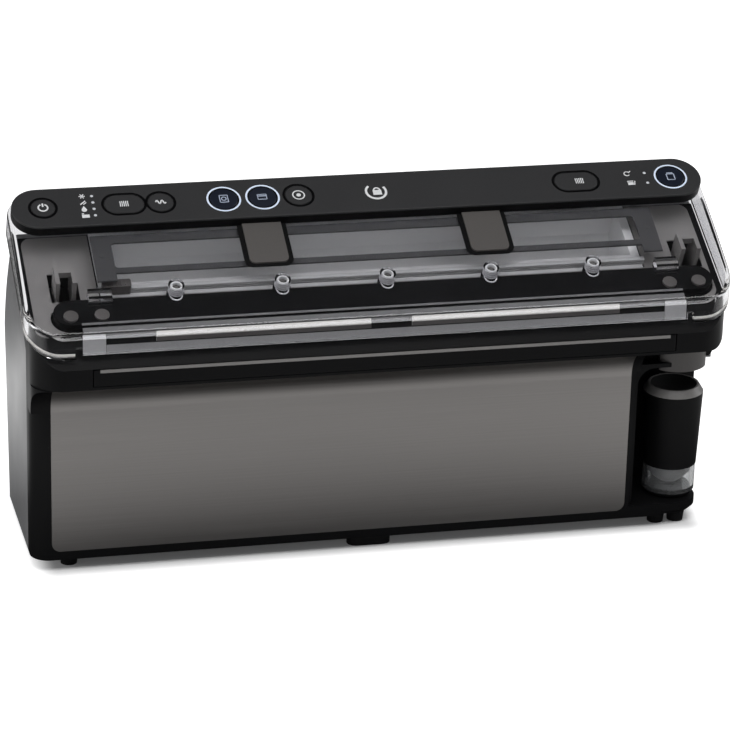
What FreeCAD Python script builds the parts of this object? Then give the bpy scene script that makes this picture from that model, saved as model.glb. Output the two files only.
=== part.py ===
import FreeCAD, Part
import math
import os
from FreeCAD import Placement, Rotation, Vector

os.makedirs("parts", exist_ok=True)

# Driving sizes in millimetres. While drawing, y = 0 is the face of the steel front panel and z = 0 is the
# floor; save() then slides everything back so that the origin is under the middle of the whole object.
LID_HALF = 200.0            # half the width of the lid
LID_OVERHANG = 3.0          # how far the lid stands out past the body at each side
BODY_HALF = LID_HALF - LID_OVERHANG
FAR = LID_HALF + 100        # well past the body, for cutting boxes
WALL = 3.0                  # wall of the mouldings
FOOT_HEIGHT = 7.0           # from the floor to the underside of the body
REAR_Y = 109.0              # rearmost point of the body
REAR_LEAN = 12.0            # the rear wall leans back this far from the foot up to its bend
REAR_BEND_Z = 110.0         # here the rear wall bends over into the shoulder
REAR_CORNER = 4.0           # rounding of the upright edges at the rear
LID_FRONT_Y = -15.5         # foremost point of the lid
SHELF_Y = -15.0             # front of the shelf and of the drip tray
COVE_Y = -14.0              # front of the cove under the shelf
SEAM_Y = 16.0               # front housing meets rear cover here
SHELF_TOP = 124.5           # front edge of the bag slot
SHELF_HEIGHT = 11.9
SHELF_BOTTOM = SHELF_TOP - SHELF_HEIGHT
COVE_RISE = 17.6            # the panel is flat up to this far under the shelf
COVE_START = SHELF_BOTTOM - COVE_RISE
PANEL_INSET = 11.0          # from the left side of the body to the steel panel
PANEL_LEFT = -BODY_HALF + PANEL_INSET
PANEL_BOTTOM = 12.0
PANEL_SHEET = 1.0
PANEL_CORNER = 5.0          # rounding of the panel's lower corners
FIT = 0.2                   # gap of pieces that drop into each other
RUNNING_GAP = 0.05          # radial gap of pins in their barrels
MOVING_GAP = 0.4            # gap between bodies that move past each other

# The lid, the deck and the control strip lie in one tilted frame: u runs up the slope, n stands off it.
TILT = 26.5
TILT_Y = -14.0
TILT_Z = SHELF_TOP + 8.5
LID_WALL = 3.0
LID_FACE_N = 15.7           # lid face under the control strip
DECK_TOP_N = -1.0
HINGE_N = -5.0
PIN_RADIUS = 2.0
BARREL_RADIUS = 3.9
INNER_X = 4.0               # the parts under the lid sit this far right of its middle
SEAL_U0 = 8.5
SEAL_WIDTH = 5.0
SEAL_U1 = SEAL_U0 + SEAL_WIDTH
SEAL_INSET = 40.0           # from the end of the lid to the end of the heat seal bar
SEAL_HALF = LID_HALF - SEAL_INSET
RING_RADIUS = 9.0
RING_U = SEAL_U1 + RING_RADIUS + 3.5    # middle line of the vacuum channel
RING_INSET = 13.0
RING_HALF = LID_HALF - RING_INSET
RAIL_WIDTH = 2.6
RAIL_U0 = RING_U + RING_RADIUS + 8.2
RAIL_U1 = RAIL_U0 + RAIL_WIDTH
BAY_MOUTH = 37.8            # width of the mouth of the roll bay
BAY_U0 = RAIL_U1 + 3.8
BAY_U1 = BAY_U0 + BAY_MOUTH
BAY_U = BAY_U0 + BAY_MOUTH / 2 - 0.5    # axis of the roll bay
BAY_N = -8.0
BAY_RADIUS = 21.5
BAY_INSET = 50.0
BAY_HALF = LID_HALF - BAY_INSET
DECK_REAR_U = BAY_U1 + 2.6
HINGE_BEHIND = 7.0          # from the rear of the deck to the hinge axis
HINGE_U = DECK_REAR_U + HINGE_BEHIND
LID_REAR_U = HINGE_U + 11.0
STRIP_WIDTH = 30.0          # width of the control strip
STRIP_U1 = LID_REAR_U - 2.5
STRIP_U0 = STRIP_U1 - STRIP_WIDTH
STRIP_INSET = 1.5
STRIP_HALF = LID_HALF - STRIP_INSET
STRIP_TOP_N = LID_FACE_N + 6.3
COVER_SHEET = 1.2
LATCH_INSET = 22.0
LATCH_X = LID_HALF - LATCH_INSET
LATCH_SPREAD = 4.6          # half the distance between the two bars of a latch hook
LATCH_U = RING_U + 16.0     # lower edge of the latch hooks
TRAY_INSET = 32.0           # from the side of the body to the drip tray
TRAY_HALF = BODY_HALF - TRAY_INSET
TRAY_DEPTH = 50.0
DOCK_WIDTH = 50.0
DOCK_X = BODY_HALF - DOCK_WIDTH
PANEL_RIGHT = DOCK_X - 2.5
DOCK_DEPTH = 42.0
DOCK_TOP = COVE_START + 2.0
LEDGE_TOP = 14.0
LEDGE_INSET = 5.5           # the ledge stops this far inside the right side
WAND_INSET = 20.0           # from the right side to the axis of the handheld sealer
WAND_X = BODY_HALF - WAND_INSET
WAND_Y = 20.0
WAND_RADIUS = 17.25
WAND_FOOT_RADIUS = 15.5     # the handheld sealer narrows towards its cup
WAND_SHOULDER = 77.2        # from here up the cap slopes in
WAND_TOP = WAND_SHOULDER + 4.1
CUP_TOP = 32.6
BRIDGE_X = WAND_X - 13.0    # left edge of the round block over the handheld sealer
BRIDGE_RADIUS = 17.5
BRIDGE_BOTTOM = DOCK_TOP - 3.0
BROW_Y = 12.0               # the wall over the bay stands this far back

centre_y = (REAR_Y + LID_FRONT_Y) / 2
sin_t = math.sin(math.radians(TILT))
cos_t = math.cos(math.radians(TILT))


def tilted(u, n):
    """The (y, z) of a point that is given up the slope and off it."""
    return (TILT_Y + u * cos_t - n * sin_t, TILT_Z + u * sin_t + n * cos_t)


def on_slope(shape):
    """Take a shape drawn with (x, u, n) as (x, y, z) to its tilted place."""
    moved = shape.copy()
    slope = Placement(Vector(0, TILT_Y, TILT_Z), Rotation(Vector(1, 0, 0), TILT))
    moved.Placement = slope.multiply(shape.Placement)
    return moved


def box(x0, x1, y0, y1, z0, z1):
    return Part.makeBox(x1 - x0, y1 - y0, z1 - z0, Vector(x0, y0, z0))


def plate(x0, x1, y0, y1, z0, z1, radius, corners=("front", "rear")):
    """A box with rounded upright edges at its front corners, its rear corners or both."""
    body = box(x0, x1, y0, y1, z0, z1)
    middle = (y0 + y1) / 2
    edges = []
    for edge in body.Edges:
        upright = abs(edge.Vertexes[0].Z - edge.Vertexes[1].Z) > 1e-6
        side = "front" if edge.CenterOfMass.y < middle else "rear"
        if upright and side in corners:
            edges.append(edge)
    return body.makeFillet(radius, edges)


def capsule(half_length, middle, radius, z0, z1, centre_x=0.0):
    """A plate with two round ends, lying along x."""
    reach = half_length - radius
    left = Vector(centre_x - reach, middle, z0)
    right = Vector(centre_x + reach, middle, z0)
    up = Vector(0, radius, 0)
    outline = Part.Wire([
        Part.makeLine(left - up, right - up),
        Part.Arc(right - up, right + Vector(radius, 0, 0), right + up).toShape(),
        Part.makeLine(right + up, left + up),
        Part.Arc(left + up, left - Vector(radius, 0, 0), left - up).toShape(),
    ])
    return Part.Face(outline).extrude(Vector(0, 0, z1 - z0))


def ring(half_length, middle, radius, width, z0, z1):
    """A capsule outline of one width, as of a gasket, round the vacuum channel."""
    outer = capsule(half_length, middle, radius, z0, z1, INNER_X)
    return outer.cut(capsule(half_length - width, middle, radius - width, z0 - 1, z1 + 1, INNER_X))


def round_bar(radius, start, end):
    axis = end - start
    return Part.makeCylinder(radius, axis.Length, start, axis)


def profile(points, x0, x1):
    """Push a (y, z) outline along x. A point given as (via, end) is reached by an arc through via."""
    edges = []
    first = Vector(x0, *points[0])
    here = first
    for item in points[1:] + [points[0]]:
        if isinstance(item[0], tuple):
            goal = Vector(x0, *item[1])
            edges.append(Part.Arc(here, Vector(x0, *item[0]), goal).toShape())
        else:
            goal = Vector(x0, *item)
            edges.append(Part.makeLine(here, goal))
        here = goal
    return Part.Face(Part.Wire(edges)).extrude(Vector(x1 - x0, 0, 0))


def fuse(shapes):
    return shapes[0].multiFuse(shapes[1:]).removeSplitter()


def pipe(radius, bore, points):
    """A hose through corner points, with ball joints at the bends."""
    outer = []
    for start, end in zip(points, points[1:]):
        outer.append(round_bar(radius, start, end))
    for corner in points[1:-1]:
        outer.append(Part.makeSphere(radius, corner))
    hose = fuse(outer)
    first = round_bar(bore, points[0] - (points[1] - points[0]) * 0.01, points[1])
    return hose.cut(first)


def save(name, *solids):
    shape = solids[0] if len(solids) == 1 else Part.makeCompound(list(solids))
    moved = shape.copy()
    moved.translate(Vector(0, -centre_y, 0))
    moved.exportStep("parts/" + name + ".step")


# Shared outlines
cove_radius = ((SHELF_BOTTOM - COVE_START) ** 2 + COVE_Y ** 2) / (2 * -COVE_Y)


def cove_point(height, setback):
    """A point on the cove, or on the same curve set back into the wall."""
    rise = height - COVE_START
    radius = cove_radius + setback
    return (-cove_radius + math.sqrt(radius ** 2 - rise ** 2), height)


def seam_point(y):
    """Height of the seam between deck and rear cover along the side of the body."""
    low_y, low_z = SEAM_Y, SHELF_TOP + 1.5
    high_y, high_z = tilted(DECK_REAR_U, -3.4)
    return low_z + (y - low_y) * (high_z - low_z) / (high_y - low_y)


FACE_U0 = 5.3               # front edge of the lid face
FACE_FRONT_N = 10.8         # its height there
FACE_CROWN = 0.9            # how far the lid face bulges in the middle


def face_arc(u, lift=0.0):
    """Height n of the gently curved lid face at u, lifted or lowered."""
    along = (u - FACE_U0) / (STRIP_U0 - FACE_U0)
    straight = FACE_FRONT_N + along * (LID_FACE_N - FACE_FRONT_N)
    return straight + FACE_CROWN * 4 * along * (1 - along) + lift


def face_outline(u0, u1, lift):
    """Three points of the lid face between two places on the slope."""
    middle = (u0 + u1) / 2
    return [tilted(u, face_arc(u, lift)) for u in (u0, middle, u1)]


# Front housing: front wall, rounded corners and the cove that carries the shelf
corner_block = plate(-BODY_HALF, BODY_HALF, 0, 60, FOOT_HEIGHT, COVE_START, 10.5, ("front",))
front_housing = corner_block.common(box(-FAR, FAR, 0, SEAM_Y, 0, 200))
cove = profile([
    (0, COVE_START), (cove_point((COVE_START + SHELF_BOTTOM) / 2, 0), (COVE_Y, SHELF_BOTTOM)),
    (SEAM_Y, SHELF_BOTTOM), (SEAM_Y, COVE_START)], -BODY_HALF, BODY_HALF)
cove = cove.common(plate(-BODY_HALF, BODY_HALF, COVE_Y, 60, 0, 200, 13.0, ("front",)))
front_housing = front_housing.fuse(cove).removeSplitter()
front_housing = front_housing.cut(box(-BODY_HALF + WALL, BODY_HALF - WALL, 4.0, 60, 0, 200))
panel_outline = [
    (0, PANEL_BOTTOM), (0, COVE_START),
    (cove_point((COVE_START + SHELF_BOTTOM) / 2, 0), (COVE_Y, SHELF_BOTTOM)),
    cove_point(SHELF_BOTTOM, PANEL_SHEET),
    (cove_point((COVE_START + SHELF_BOTTOM) / 2, PANEL_SHEET), (PANEL_SHEET, COVE_START)),
    (PANEL_SHEET, PANEL_BOTTOM)]


def panel_sheet(gap):
    """The folded steel panel with rounded lower corners, grown by a gap at its ends."""
    sheet = profile(panel_outline, PANEL_LEFT - gap, PANEL_RIGHT + gap)
    corners = []
    for edge in sheet.Edges:
        middle = edge.CenterOfMass
        if abs(middle.z - PANEL_BOTTOM) < 0.01 and edge.BoundBox.YLength > PANEL_SHEET / 2:
            corners.append(edge)
    return sheet.makeFillet(PANEL_CORNER, corners)


front_panel = panel_sheet(0)
front_housing = front_housing.cut(panel_sheet(FIT))
front_housing = front_housing.cut(box(DOCK_X, FAR, -30, 60, 0, DOCK_TOP))
front_housing = front_housing.cut(box(DOCK_X + WALL, FAR, -30, BROW_Y, 0, 200))
DOCK_ROOF = DOCK_TOP + 2.5
front_housing = fuse([
    front_housing,
    box(DOCK_X, DOCK_X + WALL, 0, SEAM_Y, DOCK_ROOF, SHELF_BOTTOM),
    box(DOCK_X, BODY_HALF, BROW_Y, SEAM_Y, DOCK_ROOF, SHELF_BOTTOM)])
bowl = box(BODY_HALF - 9, BODY_HALF + 1, -30, 60, DOCK_TOP - 1, DOCK_TOP + 9)
bowl = bowl.cut(round_bar(
    9, Vector(BODY_HALF - 9, -40, DOCK_TOP + 9), Vector(BODY_HALF - 9, 70, DOCK_TOP + 9)))
front_housing = front_housing.cut(bowl)
save("front_housing", front_housing)
save("front_panel", front_panel)

# Rear cover: sides, leaning rear wall and the round shoulder up to the hinge
shoulder = tilted(DECK_REAR_U + 2.6, DECK_TOP_N)
deck_heel = tilted(DECK_REAR_U + FIT, DECK_TOP_N)
seam_top = tilted(DECK_REAR_U + FIT, -3.4)
shoulder_via = (REAR_Y - 14, TILT_Z + 9)
wall_top = (REAR_Y, REAR_BEND_Z)
rear_outline = [
    (SEAM_Y, FOOT_HEIGHT), (REAR_Y - REAR_LEAN, FOOT_HEIGHT), wall_top, (shoulder_via, shoulder),
    deck_heel, seam_top, (SEAM_Y, seam_point(SEAM_Y))]
rear_cover = profile(rear_outline, -BODY_HALF, BODY_HALF)

# Its upright edges are rounded, along the flat wall by a leaning plate and along the shoulder by a drum
lean = math.degrees(math.atan2(REAR_LEAN, REAR_BEND_Z - FOOT_HEIGHT))
leaning_plate = plate(-BODY_HALF, BODY_HALF, -FAR, 0, -FAR, FAR, REAR_CORNER, ("rear",))
leaning_plate.Placement = Placement(Vector(0, *wall_top), Rotation(Vector(1, 0, 0), -lean))
end_points = [Vector(-BODY_HALF, *point) for point in (wall_top, shoulder_via, shoulder)]
end_circle = Part.Circle(*end_points)
drum = Part.makeCylinder(end_circle.Radius, 2 * BODY_HALF, end_circle.Center, Vector(1, 0, 0))
rims = [edge for edge in drum.Edges if edge.BoundBox.XLength < 0.01]
drum = drum.makeFillet(REAR_CORNER, rims)
below_drum = box(-BODY_HALF, BODY_HALF, -FAR, FAR, -FAR, REAR_BEND_Z - 5 * REAR_CORNER)
rear_cover = rear_cover.common(leaning_plate).common(drum.fuse(below_drum))
inner_shoulder = tilted(DECK_REAR_U - 1.0, DECK_TOP_N - 2.0)
rear_hollow = profile([
    (0, 0), (REAR_Y - REAR_LEAN - WALL, 0), (REAR_Y - REAR_LEAN - WALL, FOOT_HEIGHT),
    (REAR_Y - WALL, REAR_BEND_Z),
    ((REAR_Y - 16.8, TILT_Z + 7.6), inner_shoulder), (inner_shoulder[0] - 5, 240), (0, 240)],
    -BODY_HALF + WALL, BODY_HALF - WALL)
rear_cover = rear_cover.cut(rear_hollow)
rear_cover = rear_cover.cut(box(DOCK_X, FAR, 0, DOCK_DEPTH + WALL, 0, DOCK_TOP))
HINGE_X = 120.0
BRACKET_HALF = 12.0
LUG = 5.0
INLET_X = -BODY_HALF + 71.0  # middle of the mains inlet
INLET_HALF = 14.0
inlet_z = 30.0
lugs = []
for side in (-1, 1):
    for step in (-1, 1):
        near = side * HINGE_X + step * (BRACKET_HALF + MOVING_GAP)
        far = near + step * LUG
        x0, x1 = sorted((near, far))
        lug = box(x0, x1, DECK_REAR_U + 1.2, HINGE_U, HINGE_N - 3.6, HINGE_N + 3.2)
        lug = lug.fuse(round_bar(3.6, Vector(x0, HINGE_U, HINGE_N), Vector(x1, HINGE_U, HINGE_N)))
        lug = lug.cut(round_bar(
            PIN_RADIUS, Vector(x0 - 1, HINGE_U, HINGE_N), Vector(x1 + 1, HINGE_U, HINGE_N)))
        lugs.append(on_slope(lug))
for side in (-1, 1):
    start = Vector(side * HINGE_X - BRACKET_HALF - MOVING_GAP, HINGE_U, HINGE_N)
    room = round_bar(BARREL_RADIUS + MOVING_GAP, start, start + Vector(2 * (BRACKET_HALF + MOVING_GAP), 0, 0))
    rear_cover = rear_cover.cut(on_slope(room))
rear_cover = fuse([rear_cover] + lugs)
pin_reach = BRACKET_HALF + MOVING_GAP + LUG
pins = []
for side in (-1, 1):
    start = Vector(side * HINGE_X - pin_reach, HINGE_U, HINGE_N)
    pins.append(on_slope(round_bar(PIN_RADIUS, start, start + Vector(2 * pin_reach, 0, 0))))
inlet_reach = INLET_HALF + FIT
inlet_hole = box(INLET_X - inlet_reach, INLET_X + inlet_reach, 80, 130, inlet_z - 9 - FIT, inlet_z + 9 + FIT)
rear_cover = rear_cover.cut(inlet_hole)
save("rear_cover", rear_cover)
save("hinge_pins", *pins)
inlet = box(INLET_X - INLET_HALF, INLET_X + INLET_HALF, 84, REAR_Y - 11.5, inlet_z - 9, inlet_z + 9)
inlet = inlet.cut(plate(INLET_X - 10, INLET_X + 10, 90, 130, inlet_z - 5.5, inlet_z + 5.5, 1.0))
blades = []
for offset in (-4.3, 4.3):
    blades.append(round_bar(
        1.2, Vector(INLET_X + offset, 89, inlet_z), Vector(INLET_X + offset, 96, inlet_z)))
save("power_inlet", fuse([inlet] + blades))

# Bottom cover with pedestals for the parts inside
bottom_cover = plate(-BODY_HALF + WALL + FIT, BODY_HALF - WALL - FIT, 4.0 + FIT, REAR_Y - 15 - FIT,
                     FOOT_HEIGHT, FOOT_HEIGHT + 3, 8.0)
bottom_cover = bottom_cover.cut(box(DOCK_X - FIT, FAR, 0, DOCK_DEPTH + WALL + FIT, 0, 60))
FLOOR = FOOT_HEIGHT + 3
MOTOR_RADIUS = 17.0
motor_y = 60.0
motor_z = 36.0
saddles = []
for x in (-92.0, -58.0):
    saddle = box(x - 4, x + 4, motor_y - 15, motor_y + 15, FLOOR - 1, motor_z - 4)
    motor_room = round_bar(MOTOR_RADIUS, Vector(x - 9, motor_y, motor_z), Vector(x + 9, motor_y, motor_z))
    saddles.append(saddle.cut(motor_room))
posts = []
case_screws = []
POST_X = BODY_HALF - 21
POSTS = ((-POST_X, 24), (-POST_X, 82), (0, 24), (0, 86), (DOCK_X - 17, 24), (POST_X, 82))
for x, y in POSTS:
    post = Part.makeCylinder(5.0, 14.0, Vector(x, y, FLOOR - 1))
    posts.append(post)
bottom_cover = fuse([bottom_cover] + saddles + posts)
for x, y in POSTS:
    screw = Part.makeCylinder(2.9, 2.0, Vector(x, y, FOOT_HEIGHT)).fuse(
        Part.makeCylinder(1.5, 12.0, Vector(x, y, FOOT_HEIGHT + 1)))
    slot = box(x - 2, x + 2, y - 0.4, y + 0.4, FOOT_HEIGHT - 1, FOOT_HEIGHT + 0.8)
    bottom_cover = bottom_cover.cut(screw)
    case_screws.append(screw.cut(slot))
save("bottom_cover", bottom_cover)
save("case_screws", *case_screws)

# Feet: small round ones, and a wide one at the front in the middle
feet = []
FOOT_X = BODY_HALF - 22
for x, y in ((-FOOT_X, 12), (WAND_X - 10, 10), (WAND_X + 2, 10), (-FOOT_X, 84), (FOOT_X, 84)):
    feet.append(Part.makeCone(4.6, 5.4, FOOT_HEIGHT, Vector(x, y, 0)))
save("rubber_feet", *feet)
save("centre_foot", capsule(12.5, 10.0, 5.4, 0, FOOT_HEIGHT, -4.0))

# Bay for the handheld sealer at the right
ledge = plate(DOCK_X, BODY_HALF - LEDGE_INSET, 0, DOCK_DEPTH, FOOT_HEIGHT, LEDGE_TOP, 17.0, ("front",))
under_edges = []
for edge in ledge.Edges:
    middle = edge.CenterOfMass
    if edge.BoundBox.ZLength < 0.01 and middle.z < FOOT_HEIGHT + 0.01 and middle.x > WAND_X:
        under_edges.append(edge)
ledge = ledge.makeChamfer(2.5, under_edges)
ledge = ledge.fuse(box(DOCK_X, DOCK_X + 20, 0, DOCK_DEPTH, FOOT_HEIGHT, LEDGE_TOP))
ARCH_RADIUS = 10.0
arch_x = DOCK_X + WALL
arch = box(arch_x - 1, arch_x + ARCH_RADIUS, 4.0, DOCK_DEPTH, DOCK_TOP - ARCH_RADIUS, DOCK_TOP + 1)
arch = arch.cut(round_bar(ARCH_RADIUS, Vector(arch_x + ARCH_RADIUS, 0, DOCK_TOP - ARCH_RADIUS),
                          Vector(arch_x + ARCH_RADIUS, DOCK_DEPTH + 9, DOCK_TOP - ARCH_RADIUS)))
dock = fuse([
    ledge, arch,
    box(DOCK_X, DOCK_X + WALL, 4.0, DOCK_DEPTH + WALL, FOOT_HEIGHT, DOCK_ROOF),
    box(DOCK_X, BODY_HALF, DOCK_DEPTH, DOCK_DEPTH + WALL, FOOT_HEIGHT, DOCK_TOP),
    box(DOCK_X, BODY_HALF - 10, 4.0, DOCK_DEPTH + WALL, DOCK_TOP, DOCK_ROOF)])


def bridge_block(gap):
    """The round block over the handheld sealer, grown by a gap."""
    bottom = BRIDGE_BOTTOM - gap
    block = Part.makeCylinder(BRIDGE_RADIUS + gap, SHELF_BOTTOM - bottom, Vector(WAND_X, WAND_Y, bottom))
    return block.common(box(BRIDGE_X - gap, FAR, -30, BROW_Y, 0, 200))


dock = dock.cut(bridge_block(FIT)).cut(box(WAND_X, FAR, -30, BROW_Y, DOCK_TOP - 1, DOCK_ROOF + 1))
save("handheld_dock", dock)
save("dock_bridge", bridge_block(0))

# Sealing deck: the black wedge with the bag slot, vacuum channel, tray slot and roll opening
deck_lip = tilted(6.0, DECK_TOP_N)
deck_outline = [
    (SHELF_Y, SHELF_BOTTOM), (SHELF_Y, SHELF_TOP), deck_lip, tilted(DECK_REAR_U, DECK_TOP_N),
    tilted(DECK_REAR_U, -3.4), (SEAM_Y, seam_point(SEAM_Y)), (SEAM_Y, SHELF_BOTTOM)]
deck = profile(deck_outline, -BODY_HALF, BODY_HALF)
deck = deck.common(plate(-BODY_HALF, BODY_HALF, SHELF_Y, 140, 0, 300, 17.0, ("front",)))
tray_back = SHELF_Y + TRAY_DEPTH
deck = deck.fuse(box(-TRAY_HALF - 3, TRAY_HALF + 3, SEAM_Y - 1, tray_back + 3, SHELF_BOTTOM, SHELF_TOP + 2.5))
deck = deck.removeSplitter()
TRAY_FLOOR = SHELF_BOTTOM + 1.6
TRAY_TOP = SHELF_TOP - 0.6
deck = deck.cut(box(-TRAY_HALF, TRAY_HALF, SHELF_Y - 9, tray_back, TRAY_FLOOR, SHELF_TOP))
chamber = profile([
    (3, SHELF_TOP - 1), (20, SHELF_TOP - 1), tilted(RING_U + 6, -8), tilted(RING_U - 11, -8)],
    -SEAL_HALF, SEAL_HALF)
deck = deck.cut(chamber)
channel = capsule(RING_HALF - 6, RING_U, RING_RADIUS - 5, -30, 20, INNER_X)
deck = deck.cut(on_slope(channel.common(box(-SEAL_HALF, SEAL_HALF, 0, 100, -12, 20))))
groove = ring(RING_HALF, RING_U, RING_RADIUS, 4.5, -4.0, 10)
deck = deck.cut(on_slope(groove))
deck = deck.cut(on_slope(box(-SEAL_HALF - FIT, SEAL_HALF + FIT, SEAL_U0 - FIT, SEAL_U1 + FIT, -5.0, 10)))
deck = deck.cut(on_slope(box(-BAY_HALF - 3, BAY_HALF + 3, BAY_U0 - 1.2, BAY_U1 + 1.2, -60, 10)))
bay_room = round_bar(BAY_RADIUS + 3, Vector(-BAY_HALF - 3, BAY_U, BAY_N), Vector(BAY_HALF + 3, BAY_U, BAY_N))
bay_room = bay_room.common(box(-BODY_HALF, BODY_HALF, 0, DECK_REAR_U - 2, -60, -4.6))
deck = deck.cut(on_slope(bay_room))
for side in (-1, 1):
    x = INNER_X + side * LATCH_X
    deck = deck.cut(on_slope(box(x - 8, x + 8, LATCH_U - 3.5, LATCH_U + 18, -14, 10)))
below = box(-FAR, FAR, -60, 140, 0, SHELF_TOP)
sleeve = deck.common(below)
END_ROUND = 10.0            # rounding under the right end of the shelf
round_x = BODY_HALF - END_ROUND
round_z = SHELF_BOTTOM + END_ROUND
corner = box(round_x, BODY_HALF + 1, -60, SEAM_Y, SHELF_BOTTOM - 1, round_z)
corner = corner.cut(round_bar(END_ROUND, Vector(round_x, -70, round_z), Vector(round_x, 150, round_z)))
save("sealing_deck", deck.cut(below))
save("tray_sleeve", sleeve.cut(corner))

# Grey plate on the deck, cut out round the vacuum channel, the cutter rail, the roll bay and the latch slots
PLATE_SHEET = 0.8
PLATE_GAP = 1.2
deck_plate = plate(-BODY_HALF + 4, BODY_HALF - 4, SEAL_U1 + 1.5, DECK_REAR_U - 1.5,
                   DECK_TOP_N, DECK_TOP_N + PLATE_SHEET, 6.0)
deck_plate = deck_plate.cut(capsule(RING_HALF + PLATE_GAP, RING_U, RING_RADIUS + PLATE_GAP, -9, 9, INNER_X))
deck_plate = deck_plate.cut(box(-BAY_HALF - 6, BAY_HALF + 6, RAIL_U0 - 3, DECK_REAR_U, -9, 9))
for side in (-1, 1):
    x = INNER_X + side * LATCH_X
    deck_plate = deck_plate.cut(box(x - 8, x + 8, LATCH_U - 3.5, LATCH_U + 18, -9, 9))
save("deck_plate", on_slope(deck_plate))

lower_gasket = ring(RING_HALF - FIT, RING_U, RING_RADIUS - FIT, 4.1, -4.0, DECK_TOP_N + 0.6)
save("lower_gasket", on_slope(lower_gasket))
seal_bar = box(-SEAL_HALF, SEAL_HALF, SEAL_U0, SEAL_U1, -5.0, -0.8)
save("heat_seal_bar", on_slope(seal_bar))
save("heating_element", on_slope(box(
    -SEAL_HALF + 2, SEAL_HALF - 2, SEAL_U0 + 1.2, SEAL_U1 - 1.2, -0.8, -0.5)))

# Drip tray: an open drawer with a grey lip
tray_front = plate(-TRAY_HALF + MOVING_GAP, TRAY_HALF - MOVING_GAP, SHELF_Y - 0.3, SHELF_Y + 2.4,
                   TRAY_FLOOR + MOVING_GAP, TRAY_TOP, 1.0, ("front",))
tray_box = box(-TRAY_HALF + 2, TRAY_HALF - 2, SHELF_Y + 1, tray_back - 1,
               TRAY_FLOOR + MOVING_GAP, TRAY_TOP - 1.4)
tray_box = tray_box.cut(box(-TRAY_HALF + 3.8, TRAY_HALF - 3.8, SHELF_Y + 2.4, tray_back - 2.8,
                            TRAY_FLOOR + MOVING_GAP + 1.6, SHELF_TOP))
tray = tray_front.fuse(tray_box).removeSplitter()
lip_seat = box(-TRAY_HALF + 4, TRAY_HALF - 4, SHELF_Y - 2, SHELF_Y + 0.6, TRAY_TOP - 1.6, TRAY_TOP + 1)
save("drip_tray", tray.cut(lip_seat))
save("tray_lip", box(-TRAY_HALF + 4, TRAY_HALF - 4, SHELF_Y - 0.4, SHELF_Y + 0.6, TRAY_TOP - 1.6, TRAY_TOP))

# Roll cradle, a light trough that hangs in the deck by its rim
trough = round_bar(BAY_RADIUS + 2, Vector(-BAY_HALF - 2, BAY_U, BAY_N), Vector(BAY_HALF + 2, BAY_U, BAY_N))
trough = trough.common(box(-FAR, FAR, BAY_U0 - 1, BAY_U1 + 1, -60, DECK_TOP_N))
throat = box(-BAY_HALF - 2, BAY_HALF + 2, BAY_U0 - 1, BAY_U1 + 1, BAY_N, DECK_TOP_N)
rim = box(-BAY_HALF - 5, BAY_HALF + 5, BAY_U0 - 2, BAY_U1 + 2.2, DECK_TOP_N, DECK_TOP_N + 1.2)
bay = round_bar(BAY_RADIUS, Vector(-BAY_HALF, BAY_U, BAY_N), Vector(BAY_HALF, BAY_U, BAY_N))
bay = bay.common(box(-FAR, FAR, BAY_U0 + 0.8, BAY_U1 - 0.8, -60, 20))
mouth = box(-BAY_HALF, BAY_HALF, BAY_U0 + 0.8, BAY_U1 - 0.8, BAY_N, 20)
cradle = trough.fuse(throat).fuse(rim)
cradle = cradle.cut(bay).cut(mouth).removeSplitter()
save("roll_cradle", on_slope(cradle))

# Cutter on its rail between the channel and the roll bay
rail = box(-BAY_HALF - 6, BAY_HALF + 6, RAIL_U0, RAIL_U1, DECK_TOP_N, 3.0)
rail = rail.cut(box(-FAR, FAR, RAIL_U0 - 1, RAIL_U0 + 0.7, 0.4, 1.4))
save("cutter_rail", on_slope(rail))
CUTTER_X = -BAY_HALF + 4.0
slider = plate(CUTTER_X - 8, CUTTER_X + 8, RAIL_U0 - 1.7, RAIL_U1 + 1.4, 0.4, 6.6, 1.2)
slider = slider.cut(box(CUTTER_X - 20, CUTTER_X + 20, RAIL_U0 - 0.3, RAIL_U1 + 0.3, -5, 3.3))
blade = box(CUTTER_X - 5, CUTTER_X + 5, RAIL_U1 + 0.5, RAIL_U1 + 0.9, -0.4 + 1.0, 3.0)
slider = slider.cut(blade)
save("cutter_slider", on_slope(slider))
save("cutter_blade", on_slope(blade))

# Inside: motor, pump, valve, hoses, transformer and power board
motor = round_bar(MOTOR_RADIUS, Vector(-106, motor_y, motor_z), Vector(-44, motor_y, motor_z))
motor = motor.fuse(round_bar(6, Vector(-110, motor_y, motor_z), Vector(-106, motor_y, motor_z)))
save("pump_motor", motor)
pump = fuse([
    box(-44, -8, motor_y - 18, motor_y + 18, FLOOR, motor_z + 20),
    round_bar(13, Vector(-26, motor_y, motor_z + 19), Vector(-26, motor_y, motor_z + 30))])
save("vacuum_pump", pump)
HOSE = 3.5
hose_z = SHELF_BOTTOM + 5.4
vacuum_hose = pipe(HOSE, 2.0, [
    Vector(-26, tray_back + 3, hose_z), Vector(-26, 50, hose_z), Vector(-26, 50, motor_z + 34),
    Vector(-26, motor_y, motor_z + 34),
    Vector(-26, motor_y, motor_z + 30)])
save("vacuum_hose", vacuum_hose)
valve = box(4, 30, motor_y - 11, motor_y + 11, FLOOR, FLOOR + 30)
valve = fuse([
    valve,
    Part.makeCylinder(8, 12, Vector(17, motor_y, FLOOR + 30)),
    round_bar(HOSE, Vector(-8, motor_y, FLOOR + 16), Vector(4, motor_y, FLOOR + 16))])
save("solenoid_valve", valve)
wand_hose = pipe(HOSE, 2.0, [
    Vector(30, motor_y - 6, FLOOR + 20), Vector(DOCK_X - 27, motor_y - 6, FLOOR + 20),
    Vector(DOCK_X - 27, 30, FLOOR + 20),
    Vector(DOCK_X, 30, FLOOR + 20)])
save("handheld_hose", wand_hose)
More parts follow.
